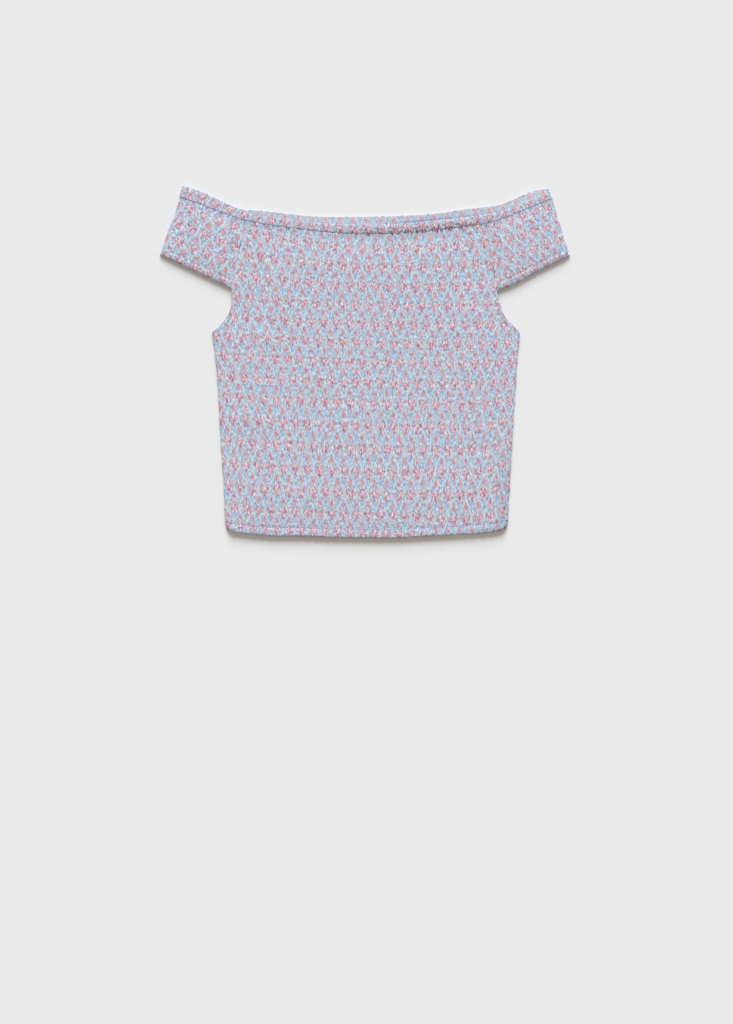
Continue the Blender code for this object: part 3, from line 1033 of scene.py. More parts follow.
@dataclass(kw_only=True)
class Sleeve(HemmedCloth):
    """One sleeve: a panel that runs from the front seam out to the fold and back below.

    Attributes:
        side: Which sleeve.
        fold: Points down the fold, from the casing to the hem.
        hem: Points along the hem, from the seam to the fold.
        column_step: Way from one cell of the print to the next in its row.
        row_step: Way from one row of the print to the next.
        sprig: Place of one cell's middle.
        net: Its own smocking, wider than the body's.
        points_out: Points from seam to fold.
        points_down: Points from casing to hem.
        turn_steps: Points round the fold.
        seam_gap: Between it and the body at the seam.
        lower_rise: How far the hem of the lower half turns up.
        lower_roll: Width over which it does.
        cut_width: Flat width of both halves by the width of the upper one.
        cut_length: Flat length by the length of its middle.
        rounds: Steps in which the seam's top is found.
    """

    side: Side
    fold: Table
    hem: Table
    column_step: Pair
    row_step: Pair
    sprig: Pair
    net: Smocking = field(default_factory=lambda: Smocking(ridge=0.7, ridge_width=1.6, puff=0.4))
    points_out: int = 62
    points_down: int = 58
    turn_steps: int = 9
    seam_gap: float = 0.03
    lower_rise: float = 0.5
    lower_roll: float = 2.4
    cut_width: float = 2.16
    cut_length: float = 1.12
    rounds: int = 6

    @property
    def name(self) -> str:
        """Name of its solid."""
        return f"sleeve_{self.side.name.lower()}"

    def edges(self, neck: Neckline) -> tuple[Callable, Callable, Callable, Callable]:
        """Finds the four edges of one half.

        Args:
            neck: The neckline that the half is sewn to.

        Returns:
            Seam, fold, top and hem, each read by a share of its length.
        """
        sign = self.side.value
        column = 1 if sign < 0 else 2
        hem_line, fold_line = np.array(self.hem), np.array(self.fold)
        seam_x = self.cut.upper_sides[0][column]
        for _ in range(self.rounds):
            seam_y = float(neck.panel_y(seam_x))
            seam_x = float(self.cut.side_x(np.array(seam_y), column))
        foot_x = float(self.cut.side_x(np.array(hem_line[0, 1]), column))
        seam_top = np.array((seam_x + sign * self.seam_gap, seam_y))
        hem_line[0, 0] = foot_x + sign * self.seam_gap
        fold_line = fold_line - (sign * self.layers.middle, 0.0)
        hem_line[-1] = fold_line[-1] - (sign * 1.0, 3.0)
        fold_line[-1] = hem_line[-1]
        fold_line[0, 1] = float(neck.panel_y(fold_line[0, 0])) - self.layers.gap

        def line(points: Array) -> Callable[[Array], Array]:
            """A smooth curve along points, read by shares of its length."""
            steps = np.hypot(*np.diff(points, axis=0).T)
            reached = np.concatenate([[0.0], np.cumsum(steps)]) / steps.sum()
            return lambda share: np.stack(
                [smooth_through(reached, points[:, k], share) for k in (0, 1)], axis=-1
            )

        def seam(v: Array) -> Array:
            """Straight down the sleeve seam."""
            v = np.asarray(v, float)[..., None]
            return (1 - v) * seam_top + v * hem_line[0]

        def top(u: Array) -> Array:
            """Along the casing's stitch line."""
            u = np.asarray(u, float)
            x = (1 - u) * seam_top[0] + u * fold_line[0, 0]
            return np.stack([x, neck.panel_y(x)], axis=-1)

        return seam, line(fold_line), top, line(hem_line)

    def half(self, neck: Neckline, u: Array, v: Array) -> Array:
        """Fills one half between its edges.

        Args:
            neck: The neckline that it is sewn to.
            u: Shares of the way from the seam to the fold.
            v: Shares of the way from the casing to the hem.

        Returns:
            Flat places of its points, rows down by columns out.
        """
        seam, fold, top, hem = self.edges(neck)
        out, down = u[None, :, None], v[:, None, None]
        across = (1 - out) * seam(v)[:, None] + out * fold(v)[:, None]
        along = (1 - down) * top(u)[None] + down * hem(u)[None]
        corners = (1 - out) * (1 - down) * top(0.0) + out * (1 - down) * top(1.0)
        corners = corners + (1 - out) * down * hem(0.0) + out * down * hem(1.0)
        return across + along - corners

    def print_at(self, place: Array) -> tuple[Array, Array]:
        """Finds the print on the sleeve.

        Args:
            place: Flat places.

        Returns:
            Column and row of the print there.
        """
        steps = np.array((self.column_step, self.row_step)).T
        found = (place - np.array(self.sprig)) @ np.linalg.inv(steps).T
        return found[..., 0], found[..., 1]

    def print_map(self, front: Array, back: Array, centre: Array, turn: Array) -> Array:
        """Lays the print over the sleeve as if it were unfolded.

        Args:
            front: Places of the upper half.
            back: Places of the lower half.
            centre: Places round the fold, without its radius.
            turn: Angles round the fold.

        Returns:
            Column and row of all points.
        """
        sign, radius = self.side.value, self.layers.middle
        round_fold = centre + np.stack([sign * radius * turn, 0 * turn], axis=-1)
        beyond = 2 * front[:, -1:] + (sign * np.pi * radius, 0.0) - back[:, ::-1] * (1.0, 0.0)
        beyond[..., 1] = back[:, ::-1, 1]
        unfolded = np.concatenate([front, round_fold, beyond], axis=1)
        return np.stack(self.print_at(unfolded), axis=-1)

    def swell(self, place: Array, near: Margins) -> Array:
        """Finds how far the upper half stands off the lower one, with its soft folds.

        Args:
            place: Flat places of its points.
            near: Their distances from the edges.

        Returns:
            Heights that inside and outside share.
        """
        swell = self.layers.loft * ease(near.seam, 0, 22) * ease(near.fold, 0, 22)
        swell = swell * ease(near.top, 0, 18) * ease(near.hem, 0, 18)
        for crease in self.creases:
            fade = ease(near.fold, 0, 10) * ease(near.seam, 0, 8)
            swell = swell + crease.at(place[..., 0], place[..., 1]) * fade
        return swell

    def thickness(self, place: Array, near: Margins) -> Array:
        """Finds how thick the cloth of the upper half is, with its net, crinkles and hem.

        Args:
            place: Flat places of its points.
            near: Their distances from the edges.

        Returns:
            Thicknesses.
        """
        in_hem = self.in_hem(near.hem)
        strength = 1 - self.neck_flattening * (1 - ease(near.top, 0, 8))
        strength = strength * (1 - self.hem_flattening * in_hem) * ease(near.fold, 0, 9)
        at_seam = 1 - self.seam_flattening * (1 - ease(near.seam, 1, 9))
        relief = self.net.relief(*self.print_at(place)) * strength * at_seam
        relief = relief + crinkled(self.crinkles, place[..., 0], place[..., 1]) * strength
        relief = relief + self.hem_lift * in_hem * ease(near.fold, 0, 5)
        groove = bell(near.hem - self.hem_width, self.stitch_width) * ease(near.fold, 1, 6)
        relief = relief - self.stitch_sink * groove
        shape = np.minimum(rolled(near.hem, self.edge_roll), rolled(near.seam, self.seam_roll))
        low = self.layers.lowest(1 - ease(near.seam, 0, 4))
        thick = np.maximum(low + (self.layers.wall + relief - low) * shape, self.layers.edge_height)
        return self.layers.under_casing(thick, near.top)

    def round_fold(self, centre: Array, turn: Array, thick: Array) -> Array:
        """Turns one face of the cloth round the fold.

        Args:
            centre: Places round the fold, without its radius.
            turn: Angles round the fold.
            thick: How far the face stands off the fold's inside.

        Returns:
            Points round the fold.
        """
        radius = self.layers.gap / 2 + thick
        turned_x = centre[..., 0] + self.side.value * radius * np.sin(turn)
        height = self.layers.middle + radius * np.cos(turn)
        return np.stack([turned_x, centre[..., 1], height], axis=-1)

    def shade(self, near: Margins) -> Array:
        """Finds the upper half's painted shade: along its hem and under the casing.

        Args:
            near: Distances of its points from the edges.

        Returns:
            Shares, 0 to 1.
        """
        # Painted shade along the hem band and under the casing.
        band = ease(near.hem, 1.0, 3.0) * self.in_hem(near.hem) + 0 * near.seam
        strip = 1 - ease(near.top, 3.0, 11.0) + 0 * near.seam
        return np.maximum(0.35 * band, 0.24 * strip)

    def build(self, material: Material) -> Piece:
        """Makes the sleeve and gives it its material.

        Args:
            material: Its finish.

        Returns:
            The piece.
        """
        layers, middle = self.layers, self.points_out // 2
        u, v = np.linspace(0.0, 1.0, self.points_out), np.linspace(0.0, 1.0, self.points_down)
        front, back = self.half(FRONT_NECK, u, v), self.half(BACK_NECK, u, v)
        width = float(np.hypot(*(front[0, -1] - front[0, 0])))
        length = float(np.hypot(*(front[-1, middle] - front[0, middle])))
        near = Margins(
            seam=u[None, :] * width,
            fold=(1 - u[None, :]) * width,
            top=v[:, None] * length,
            hem=(1 - v[:, None]) * length,
        )
        inside, thick = layers.upper_inside + self.swell(front, near), self.thickness(front, near)
        turn = np.linspace(0.0, np.pi, self.turn_steps + 2)[1:-1][None, :]
        share = turn / np.pi
        centre = front[:, -1:] * (1 - share[..., None]) + back[:, -1:] * share[..., None]
        end_thick = thick[:, -1:] * (1 - share) + layers.wall * share
        lift = self.lower_rise * (1 - rolled(near.hem, self.lower_roll))
        over = [
            raised(front, inside + thick),
            self.round_fold(centre, turn, end_thick),
            raised(back, lift)[:, ::-1],
        ]
        under = [
            raised(front, inside),
            self.round_fold(centre, turn, 0 * end_thick),
            raised(back, layers.wall)[:, ::-1],
        ]
        over, under = np.concatenate(over, axis=1), np.concatenate(under, axis=1)
        # Painted shade on the upper half only.
        shade = np.zeros(over.shape[:2])
        shade[:, : self.points_out] = self.shade(near)
        uv = self.print_map(front, back, centre, turn)
        item = wall_object(f"{self.name}_panel", over, under, uv, shade)
        dressed(item, material, self.name)
        return item


@dataclass
class NeckCasing:
    """The gathered strip with elastic in it, all round the neckline.

    Attributes:
        thick: Its thickness.
        gap: Between its two runs.
        front_steps: Sections along the front run.
        back_steps: Sections along the back run.
        turn_steps: Sections round each tip.
        section: Across its width, its height on the front where it lies flat, there where it
            stands up, and on the back, from the top edge over the outside to the inside.
        section_points: Points round one section.
        gathers: The gathers' unevenness along the strip.
        wobbles: How they wander to the side.
        pleat: Depth of the gathers.
        pleat_from: Share of the height above which they show.
        cross_pleat: Depth of the smaller folds along the strip, as a share of that.
        edge_wobble: How far the top edge wanders.
        low_end: Shares of the width over which the gathers deepen towards the stitches.
        deepening: How much deeper they are there where the casing stands up.
        plump: Over x, how far the front run stands up.
        pucker: How far the stitches pull the gathers' lower ends in.
        tuck_shade: Over x, how strong the painted shade in the front run's tucks is.
        contact_shade: Over x, how strong the painted shade on the back run is close above the front one.
        rim_shade: Painted shade of the top edge's wall, below 0 for a grey one.
        smocking: The body's net, whose columns the print follows.
        column_shift: Columns by which its print lies further left.
        tip_columns: Columns of the print round each tip.
        front_row: Row of the print in the middle of the front run.
        back_row: The same of the back run.
        row_length: Length of a row of its print.
        print_width: Width of the strip on its print.
        flat_width: Width of the strip laid flat.
    """

    thick: float = 2.2
    gap: float = 0.3
    front_steps: int = 560
    back_steps: int = 300
    turn_steps: int = 10
    section: tuple[tuple[float, float, float, float], ...] = (
        (0.00, 0.50, 0.62, 0.50),
        (0.02, 0.61, 0.78, 0.94),
        (0.42, 0.63, 0.88, 1.00),
        (0.80, 0.62, 0.81, 0.98),
        (1.00, 0.56, 0.60, 0.60),
        (0.985, 0.49, 0.51, 0.00),
        (0.80, 0.47, 0.50, 0.00),
        (0.68, 0.00, 0.00, 0.00),
        (0.30, 0.00, 0.00, 0.00),
        (0.02, 0.04, 0.06, 0.00),
    )
    section_points: int = 40
    gathers: Ripples = Ripples(21, 5.0, 30.0, 12)
    wobbles: Ripples = Ripples(22, 6.8, 30.0, 12)
    pleat: float = 0.26
    pleat_from: float = 0.3
    cross_pleat: float = 0.4
    edge_wobble: float = 0.35
    low_end: Pair = (0.35, 0.95)
    deepening: float = 2.0
    plump: Table = (
        (-210.0, 0.0), (-120.0, 0.05), (-75.0, 0.15), (-30.0, 0.65), (10.0, 0.95), (110.0, 0.9),
        (135.0, 0.5), (160.0, 0.1), (210.0, 0.0),
    )
    pucker: float = 0.6
    # Painted shade in the front run's tucks, over x.
    tuck_shade: Table = (
        (-210.0, 0.02), (-60.0, 0.06), (-20.0, 0.36), (15.0, 0.45), (40.0, 0.66), (105.0, 0.72),
        (125.0, 0.5), (145.0, 0.15), (210.0, 0.05),
    )
    # Painted shade on the back run close above the front run, over x.
    contact_shade: Table = (
        (-210.0, 0.0), (-130.0, 0.15), (-20.0, 0.3), (25.0, 0.5), (50.0, 1.0), (105.0, 0.9),
        (140.0, 0.45), (180.0, 0.1), (210.0, 0.0),
    )
    rim_shade: float = -0.4
    smocking: Smocking = field(default_factory=Smocking)
    column_shift: float = 0.18
    tip_columns: float = 0.3
    front_row: float = -1.0
    back_row: float = -1.45
    row_length: float = 20.8
    print_width: float = 9.0
    flat_width: float = 11.2

    @property
    def middle(self) -> float:
        """Height half-way between its two runs."""
        return self.thick + self.gap / 2

    def profile(self) -> tuple[Array, Array, Array, Array]:
        """Smooths the section.

        Returns:
            Width share and the three heights round it.
        """
        table = np.array(self.section)
        closed = np.vstack([table[-2:], table, table[:3]])
        at = np.linspace(0, len(table), self.section_points, endpoint=False)
        places = np.arange(-2, len(table) + 3, dtype=float)
        return tuple(smooth_through(places, closed[:, k], at) for k in range(4))

    def run(self, neck: Neckline, x: Array, turn: Array, out: float) -> Array:
        """Makes the sections of one run.

        Args:
            neck: The run's neckline.
            x: x of the sections.
            turn: Angles by which their outside is turned from straight up.
            out: 1 or -1, the side to which it is turned.

        Returns:
            Sections by points by 3.
        """
        back = neck is BACK_NECK
        share, flat_height, plump_height, back_height = self.profile()
        plump = read_over(x, self.plump)[:, None]
        front_height = flat_height + plump * (plump_height - flat_height)
        heights = back_height + 0 * plump if back else front_height
        y, slope = neck.edge(x)
        long = np.hypot(slope, 1.0)
        across = np.stack([slope, -np.ones_like(slope)], axis=-1) / long[:, None]
        ahead = np.stack([np.ones_like(slope), slope], axis=-1) * out / long[:, None]
        pleats = self.gathers.at(x, 0 * x)[:, None]
        wobble = self.wobbles.at(x, 0 * x)[:, None]
        upper = np.clip(heights - self.pleat_from, 0.0, 1.0)
        fade = 0.0 if back else 1.0
        low_end = ease(share, *self.low_end)[None, :]
        gather = pleats * (1 + self.deepening * low_end * plump)
        gather = gather + self.cross_pleat * np.cos(2 * np.pi * (share[None, :] + wobble))
        rise = self.thick * heights + fade * self.pleat * upper * gather
        reach = self.gap / 2 + np.maximum(rise, 0.0)
        width = neck.width(x)[:, None] * share[None, :]
        width = width + self.edge_wobble * wobble * (1 - share[None, :])
        width = width + fade * self.pucker * plump * pleats * low_end
        edge = np.stack([x, y], axis=-1)[:, None]
        flat = edge + across[:, None] * width[..., None]
        flat = flat + ahead[:, None] * (np.sin(turn)[:, None] * reach)[..., None]
        return raised(flat, np.maximum(self.middle + np.cos(turn)[:, None] * reach, 0.0))

    def shade(self, sections: Array) -> Array:
        """Finds the strip's painted shade: in its tucks, and on the back run just above the front run's top
        edge.

        Args:
            sections: Its sections.

        Returns:
            Shares of painted shade, 0 to 1, and below 0 for a painted grey shade on the wall of the top
            edge.
        """
        share = self.profile()[0][None, :]
        x, y, z = sections[..., 0], sections[..., 1], sections[..., 2]
        above = np.maximum(y - FRONT_NECK.edge(x)[0], 0.0)
        # Painted shade: on the back run close above the front run, and in the front run's tucks.
        close = read_over(x, self.contact_shade) * (0.8 * bell(above, 1.7) + 0.3 * np.exp(-above / 4.0))
        low = read_over(x, self.tuck_shade) * ease(share, 0.12, 0.7)
        found = np.clip(np.where(z > self.middle, low, close), 0.0, 1.0)
        # Painted grey shade on the wall of the top edge.
        return np.where((share < 0.04) & (z < self.thick + 1.2), self.rim_shade, found)

    def tip(self, leaving: Neckline, arriving: Neckline, end: int, out: float) -> Array:
        """Makes the turn from one run to the other.

        Args:
            leaving: Neckline of the run that ends at the tip.
            arriving: Neckline of the run that begins there.
            end: The tip's place in both tables, 0 or -1.
            out: 1 or -1, the side to which the tip points.

        Returns:
            Sections by points by 3.
        """
        share = np.linspace(0.0, 1.0, self.turn_steps + 2)[1:-1]
        turn = np.pi * (share if leaving is FRONT_NECK else 1 - share)
        runs = []
        for neck in (leaving, arriving):
            x = np.full(len(share), neck.table[end, 0])
            runs.append(self.run(neck, x, turn, out))
        part = share[:, None, None]
        return (1 - part) * runs[0] + part * runs[1]

    def print_map(self, front_x: Array, back_x: Array) -> Array:
        """Lays the print over the strip.

        Args:
            front_x: x of the front run's sections.
            back_x: x of the back run's sections.

        Returns:
            Column and row, with one more section and one more point than the strip.
        """
        share = self.profile()[0]
        share = np.append(share, share[0])
        pitch = float(self.smocking.pitch_at(np.array(0.0)))
        front = (front_x - self.smocking.centre_x) / pitch + self.column_shift
        back = (back_x - self.smocking.centre_x) / pitch + self.column_shift
        tip = np.linspace(0.0, self.tip_columns, self.turn_steps)
        columns = np.concatenate([front, front[-1] + tip, back, back[-1] - tip, front[:1]])
        rows = np.full(len(columns), self.front_row)
        rows[self.front_steps + self.turn_steps // 2 : -self.turn_steps // 2] = self.back_row
        row = rows[:, None] + (share[None, :] - 0.5) * self.print_width / self.row_length
        return np.stack([columns[:, None] + 0 * row, row], axis=-1)

    def build(self, material: Material) -> Piece:
        """Makes the casing and gives it its material.

        Args:
            material: Its finish.

        Returns:
            The piece.
        """
        front_x = np.linspace(FRONT_NECK.table[0, 0], FRONT_NECK.table[-1, 0], self.front_steps)
        back_x = np.linspace(BACK_NECK.table[-1, 0], BACK_NECK.table[0, 0], self.back_steps)
        parts = [
            self.run(FRONT_NECK, front_x, 0 * front_x, 1.0),
            self.tip(FRONT_NECK, BACK_NECK, -1, 1.0),
            self.run(BACK_NECK, back_x, np.pi + 0 * back_x, 1.0),
            self.tip(BACK_NECK, FRONT_NECK, 0, -1.0),
        ]
        sections = np.concatenate(parts)
        uv = self.print_map(front_x, back_x)
        item = ring_object("neck_casing_strip", sections, uv, self.shade(sections))
        dressed(item, material, "neck_casing")
        return item


@dataclass
class Wire:
    """A socket on which Python's operators add Math nodes.

    Attributes:
        tree: The material's tree that the nodes are added to.
        socket: The output socket.
    """

    tree: "Shader"
    socket: bpy.types.NodeSocket

    def math(self, operation: str, *others: "Wire | float") -> "Wire":
        """Adds a Math node whose first value is this one."""
        return self.tree.math(operation, self, *others)

    def __add__(self, other: "Wire | float") -> "Wire":
        """This plus other."""
        return self.math("ADD", other)

    __radd__ = __add__

    def __sub__(self, other: "Wire | float") -> "Wire":
        """This minus other."""
        return self.math("SUBTRACT", other)

    def __rsub__(self, other: float) -> "Wire":
        """Other minus this."""
        return self.tree.math("SUBTRACT", other, self)

    def __mul__(self, other: "Wire | float") -> "Wire":
        """This times other."""
        return self.math("MULTIPLY", other)

    __rmul__ = __mul__

    def __truediv__(self, other: "Wire | float") -> "Wire":
        """This over other."""
        return self.math("DIVIDE", other)

    def __abs__(self) -> "Wire":
        """This without its sign."""
        return self.math("ABSOLUTE")

    def __lt__(self, other: "Wire | float") -> "Wire":
        """1 where this is below other."""
        return self.math("LESS_THAN", other)

    def fract(self) -> "Wire":
        """What is over the whole number below."""
        return self.math("FRACT")


@dataclass
class Shader:
    """One material's node tree and the ways to add to it.

    Attributes:
        material: The material.
    """

    material: Material

    @classmethod
    def fresh(cls, name: str) -> "Shader":
        """Makes a material with only its Principled BSDF and output.

        Args:
            name: Its name.

        Returns:
            The shader of the new material.
        """
        material = bpy.data.materials.new(name)
        material.use_nodes = True
        return cls(material)

    @property
    def surface(self) -> bpy.types.Node:
        """The Principled BSDF."""
        return self.material.node_tree.nodes["Principled BSDF"]

    def node(
        self,
        kind: str,
        settings: dict[str, object] | None = None,
        values: dict[str | int, object] | None = None,
    ) -> bpy.types.Node:
        """Adds a node.

        Args:
            kind: Its type, without the leading ShaderNode.
            settings: Its own settings, set first.
            values: Values or wires of its sockets, by name or number.

        Returns:
            The node.
        """
        made = self.material.node_tree.nodes.new("ShaderNode" + kind)
        for name, value in (settings or {}).items():
            setattr(made, name, value)
        for name, value in (values or {}).items():
            self.plug(value, made.inputs[name])
        return made

    def plug(self, value: object, socket: bpy.types.NodeSocket) -> None:
        """Links a wire to a socket, or sets the socket's value.

        Args:
            value: The wire or the value.
            socket: The input socket.
        """
        if isinstance(value, Wire):
            self.material.node_tree.links.new(value.socket, socket)
        else:
            socket.default_value = value

    def wire(self, node: bpy.types.Node, output: str | int = 0) -> Wire:
        """A node's output as a wire."""
        return Wire(self, node.outputs[output])

    def math(self, operation: str, *values: Wire | float) -> Wire:
        """Adds a Math node."""
        return self.wire(self.node("Math", {"operation": operation}, dict(enumerate(values))))

    def rise(self, value: Wire, low: float, high: float) -> Wire:
        """Eases from 0 at low to 1 at high, or down where low is the higher."""
        values = {"Value": value, "From Min": low, "From Max": high, "To Min": 0.0, "To Max": 1.0}
        return self.wire(self.node("MapRange", {"interpolation_type": "SMOOTHSTEP"}, values))

    def mix(self, share: Wire | float, a: object, b: object, blend: str = "MIX") -> Wire:
        """Colour a where share is 0 and b, put on as blend says, where it is 1."""
        made = self.node("Mix", {"data_type": "RGBA", "blend_type": blend}, {0: share, 6: a, 7: b})
        return self.wire(made, 2)

    def tinted(self, colour: Wire, other: object) -> Wire:
        """One colour times another."""
        return self.mix(1.0, colour, other, "MULTIPLY")

    def vector(self, x: Wire | float, y: Wire | float, z: Wire | float = 0.0) -> Wire:
        """A vector from three values."""
        return self.wire(self.node("CombineXYZ", None, {"X": x, "Y": y, "Z": z}))

    def parts(self, whole: Wire, kind: str = "Color") -> list[Wire]:
        """The three parts of a colour, or of a vector where kind is XYZ."""
        made = self.node("Separate" + kind, None, {0: whole})
        return [self.wire(made, part) for part in range(3)]

    def noise(
        self,
        vector: Wire,
        scale: float = 1.0,
        detail: float = 2.0,
        roughness: float = 0.5,
        output: str = "Fac",
    ) -> Wire:
        """Adds a noise texture and gives its output, Fac or Color."""
        values = {"Vector": vector, "Scale": scale, "Detail": detail, "Roughness": roughness}
        return self.wire(self.node("TexNoise", None, values), output)

    def attribute(self, name: str) -> Wire:
        """A value stored on the mesh."""
        return self.wire(self.node("Attribute", {"attribute_name": name}), "Fac")

    def place(self) -> Wire:
        """The place on the piece."""
        return self.wire(self.node("TexCoord"), "Object")

    def set(self, **values: object) -> None:
        """Sets or links the Principled BSDF's sockets, underscores standing for spaces."""
        for name, value in values.items():
            self.plug(value, self.surface.inputs[name.replace("_", " ")])


def shade(red: int, green: int, blue: int) -> tuple[float, float, float, float]:
    """A colour from its screen values, 0 to 255.

    Args:
        red: Screen value.
        green: Screen value.
        blue: Screen value.

    Returns:
        The linear colour with full alpha.
    """
    linear = []
    for value in (red, green, blue):
        share = value / 255
        linear.append(share / 12.92 if share <= 0.04045 else ((share + 0.055) / 1.055) ** 2.4)
    return (*linear, 1.0)


@dataclass(frozen=True)
class Spot:
    """One soft-edged oval of the printed sprig, in the cell's own millimetres, y downwards.

    Attributes:
        x: Its middle across.
        y: Its middle down.
        half_width: Half its width.
        half_height: Half its height.
        colour: Its screen colour.
        strength: How much of the cloth it covers.
        turn: Its turn in radians.
        softness: Where its edge is lost and where it is full, in squared half sizes.
    """

    x: float
    y: float
    half_width: float
    half_height: float
    colour: Screen
    strength: float = 1.0
    turn: float = 0.0
    softness: Pair = (1.35, 0.55)

    def mask(self, shader: Shader, x: Wire, y: Wire) -> Wire:
        """Draws the oval.

        Args:
            shader: The material.
            x: Place across the cell.
            y: Place down it.

        Returns:
            Its mask.
        """
        cosine, sine = math.cos(self.turn), math.sin(self.turn)
        from_x, from_y = x - self.x, y - self.y
        if self.turn:
            from_x, from_y = from_x * cosine + from_y * sine, from_y * cosine - from_x * sine
        across, down = from_x / self.half_width, from_y / self.half_height
        return shader.rise(across * across + down * down, *self.softness) * self.strength


@dataclass(frozen=True)
class PrintedJersey:
    """Light blue jersey printed with a small sprig in each cell of the smocking.

    Attributes:
        name: Name of the material.
        ground: Cloth between the sprigs.
        deep: Its darker streaks.
        pale: Its paler streaks, painted highlights of the fine shirring.
        net: The raised lines, painted paler as their highlight.
        crimson: Dark specks of the flower.
        violet: Shaded specks of the flower.
        cream: Pale specks of the flower.
        cell_width: Width of a cell in the sprig's millimetres.
        cell_height: Its height from row to row.
        grain: Crinkles a millimetre across and down the cloth.
        strand_grain: The same of the long pale strands.
        drift_scale: Scale of the noise that moves and weakens the print.
        patch_scale: Scale of the darker patches.
        column_drift: Columns by which noise and crinkles move the print.
        row_drift: Rows by which they move it.
        cell_drift: Millimetres by which each sprig is moved across and down.
        contrast: How strongly the crinkles lighten and darken the cloth, partly its own uneven tone and
            partly painted light and shade of the crinkles.
        warmth: How strongly long streaks warm and cool it.
        sprig: The ovals, painted in turn.
        flower_back: Number of the oval that covers the whole flower.
        petals: Number of the first oval that belongs to the flower.
        shaded: Tint of the parts darkened by painted shade.
    """

    name: str = "printed_jersey"
    ground: Screen = (169, 189, 211)
    deep: Screen = (144, 172, 208)
    pale: Screen = (208, 216, 220)
    net: Screen = (204, 213, 221)
    crimson: Screen = (182, 78, 112)
    violet: Screen = (140, 112, 164)
    cream: Screen = (226, 214, 210)
    cell_width: float = 13.8
    cell_height: float = 21.8
    grain: Pair = (0.6, 0.3)
    strand_grain: Pair = (0.62, 0.16)
    drift_scale: float = 240.0
    patch_scale: float = 130.0
    column_drift: Pair = (0.18, 0.14)
    row_drift: Pair = (0.1, 0.16)
    cell_drift: Pair = (0.6, 0.8)
    contrast: float = 1.95
    warmth: float = 0.66
    sprig: tuple[Spot, ...] = (
        Spot(0.0, -10.6, 4.2, 5.6, (184, 188, 208), 0.5),
        Spot(0.2, 0.6, 6.2, 7.8, (197, 184, 200), 0.62),
        Spot(0.1, -10.8, 2.2, 3.7, (216, 158, 172), 0.92),
        Spot(0.3, -10.2, 1.1, 1.9, (206, 116, 138), 0.8),
        Spot(-3.0, -1.6, 1.8, 2.7, (206, 146, 168), 0.88, 0.4),
        Spot(3.0, -1.6, 1.8, 2.7, (216, 150, 166), 0.88, -0.4),
        Spot(-1.5, 1.4, 1.6, 2.1, (212, 156, 172), 0.82),
        Spot(1.8, 1.6, 1.6, 2.1, (214, 148, 162), 0.82),
        Spot(0.2, 4.7, 1.5, 2.9, (208, 122, 144), 0.95),
        Spot(0.1, -1.8, 1.1, 2.2, (214, 208, 212), 0.7),
    )
    flower_back: int = 1
    petals: int = 4
    shaded: tuple[float, float, float, float] = (0.42, 0.42, 0.46, 1.0)

    def cell(self, shader: Shader, column: Wire, row: Wire) -> tuple[Wire, Wire, Wire, Wire]:
        """Finds the nearest cell.

        Args:
            shader: The material.
            column: Column of the print.
            row: Row of the print.

        Returns:
            x and y in the cell's millimetres, distance to the net, and the cell's number.
        """
        x_even = (column + 0.5).fract() - 0.5
        y_even = ((row * 0.5 + 0.5).fract() - 0.5) * 2.0
        reach = (y_even * math.pi).math("COSINE") * 0.25 + 0.25
        inside = abs(x_even) < reach
        x_odd = column.fract() - 0.5
        y_odd = ((row * 0.5).fract() - 0.5) * 2.0
        x = x_odd + (x_even - x_odd) * inside
        y = y_odd + (y_even - y_odd) * inside
        slanted_width = self.cell_width * 0.85
        away = abs(abs(x_even) - reach) * slanted_width
        number = shader.vector((column - x) * 2.0 + 0.5, row - y + 0.5, 0.5)
        return x * self.cell_width, y * self.cell_height, away, number

    def cloth(self, shader: Shader, hue: Wire, away: Wire) -> Wire:
        """Colours the cloth under its print.

        Args:
            shader: The material.
            hue: The crinkles' second noise.
            away: Distance to the net.

        Returns:
            The colour.
        """
        patches = shader.noise(shader.place(), self.patch_scale, 2.0, 0.6)
        colour = shader.mix(shader.rise(patches, 0.54, 0.34) * 0.75, shade(*self.ground), shade(*self.deep))
        colour = shader.mix(shader.rise(hue, 0.5, 0.36) * 0.6, colour, shade(*self.deep))
        # Paler along the net: painted highlight on the raised lines.
        return shader.mix(shader.rise(away, 1.8, 0.3) * 0.64, colour, shade(*self.net))

    def printed(
        self,
        shader: Shader,
        colour: Wire,
        masks: list[Wire],
        chances: list[Wire],
        specks: tuple[Wire, Wire],
    ) -> tuple[Wire, Wire]:
        """Prints the sprig on the cloth.

        Args:
            shader: The material.
            colour: The cloth.
            masks: Masks of the sprig's ovals.
            chances: Three chances that differ from cell to cell.
            specks: The two noises that speckle the flower.

        Returns:
            The printed cloth, and the mask of the flower.
        """
        flower = None
        for number, (spot, mask) in enumerate(zip(self.sprig, masks)):
            if number >= self.petals:
                mask = mask * (chances[number % 3] * 0.3 + 0.85)
                flower = mask if flower is None else flower.math("MAXIMUM", mask)
            colour = shader.mix(mask, colour, shade(*spot.colour))
        hue, strand = specks
        for share, speck in (
            (shader.rise(hue, 0.46, 0.37), self.crimson),
            (shader.rise(strand, 0.4, 0.3) * 0.7, self.violet),
            (shader.rise(hue, 0.54, 0.64) * 0.7, self.cream),
        ):
            colour = shader.mix(flower * share, colour, shade(*speck))
        return colour, flower

    def paint_shade(self, shader: Shader, colour: Wire, column: Wire, row: Wire, shaded: Wire) -> Wire:
        """Darkens the parts with painted shade."""
        return shader.mix(shaded, colour, shader.tinted(colour, self.shaded))

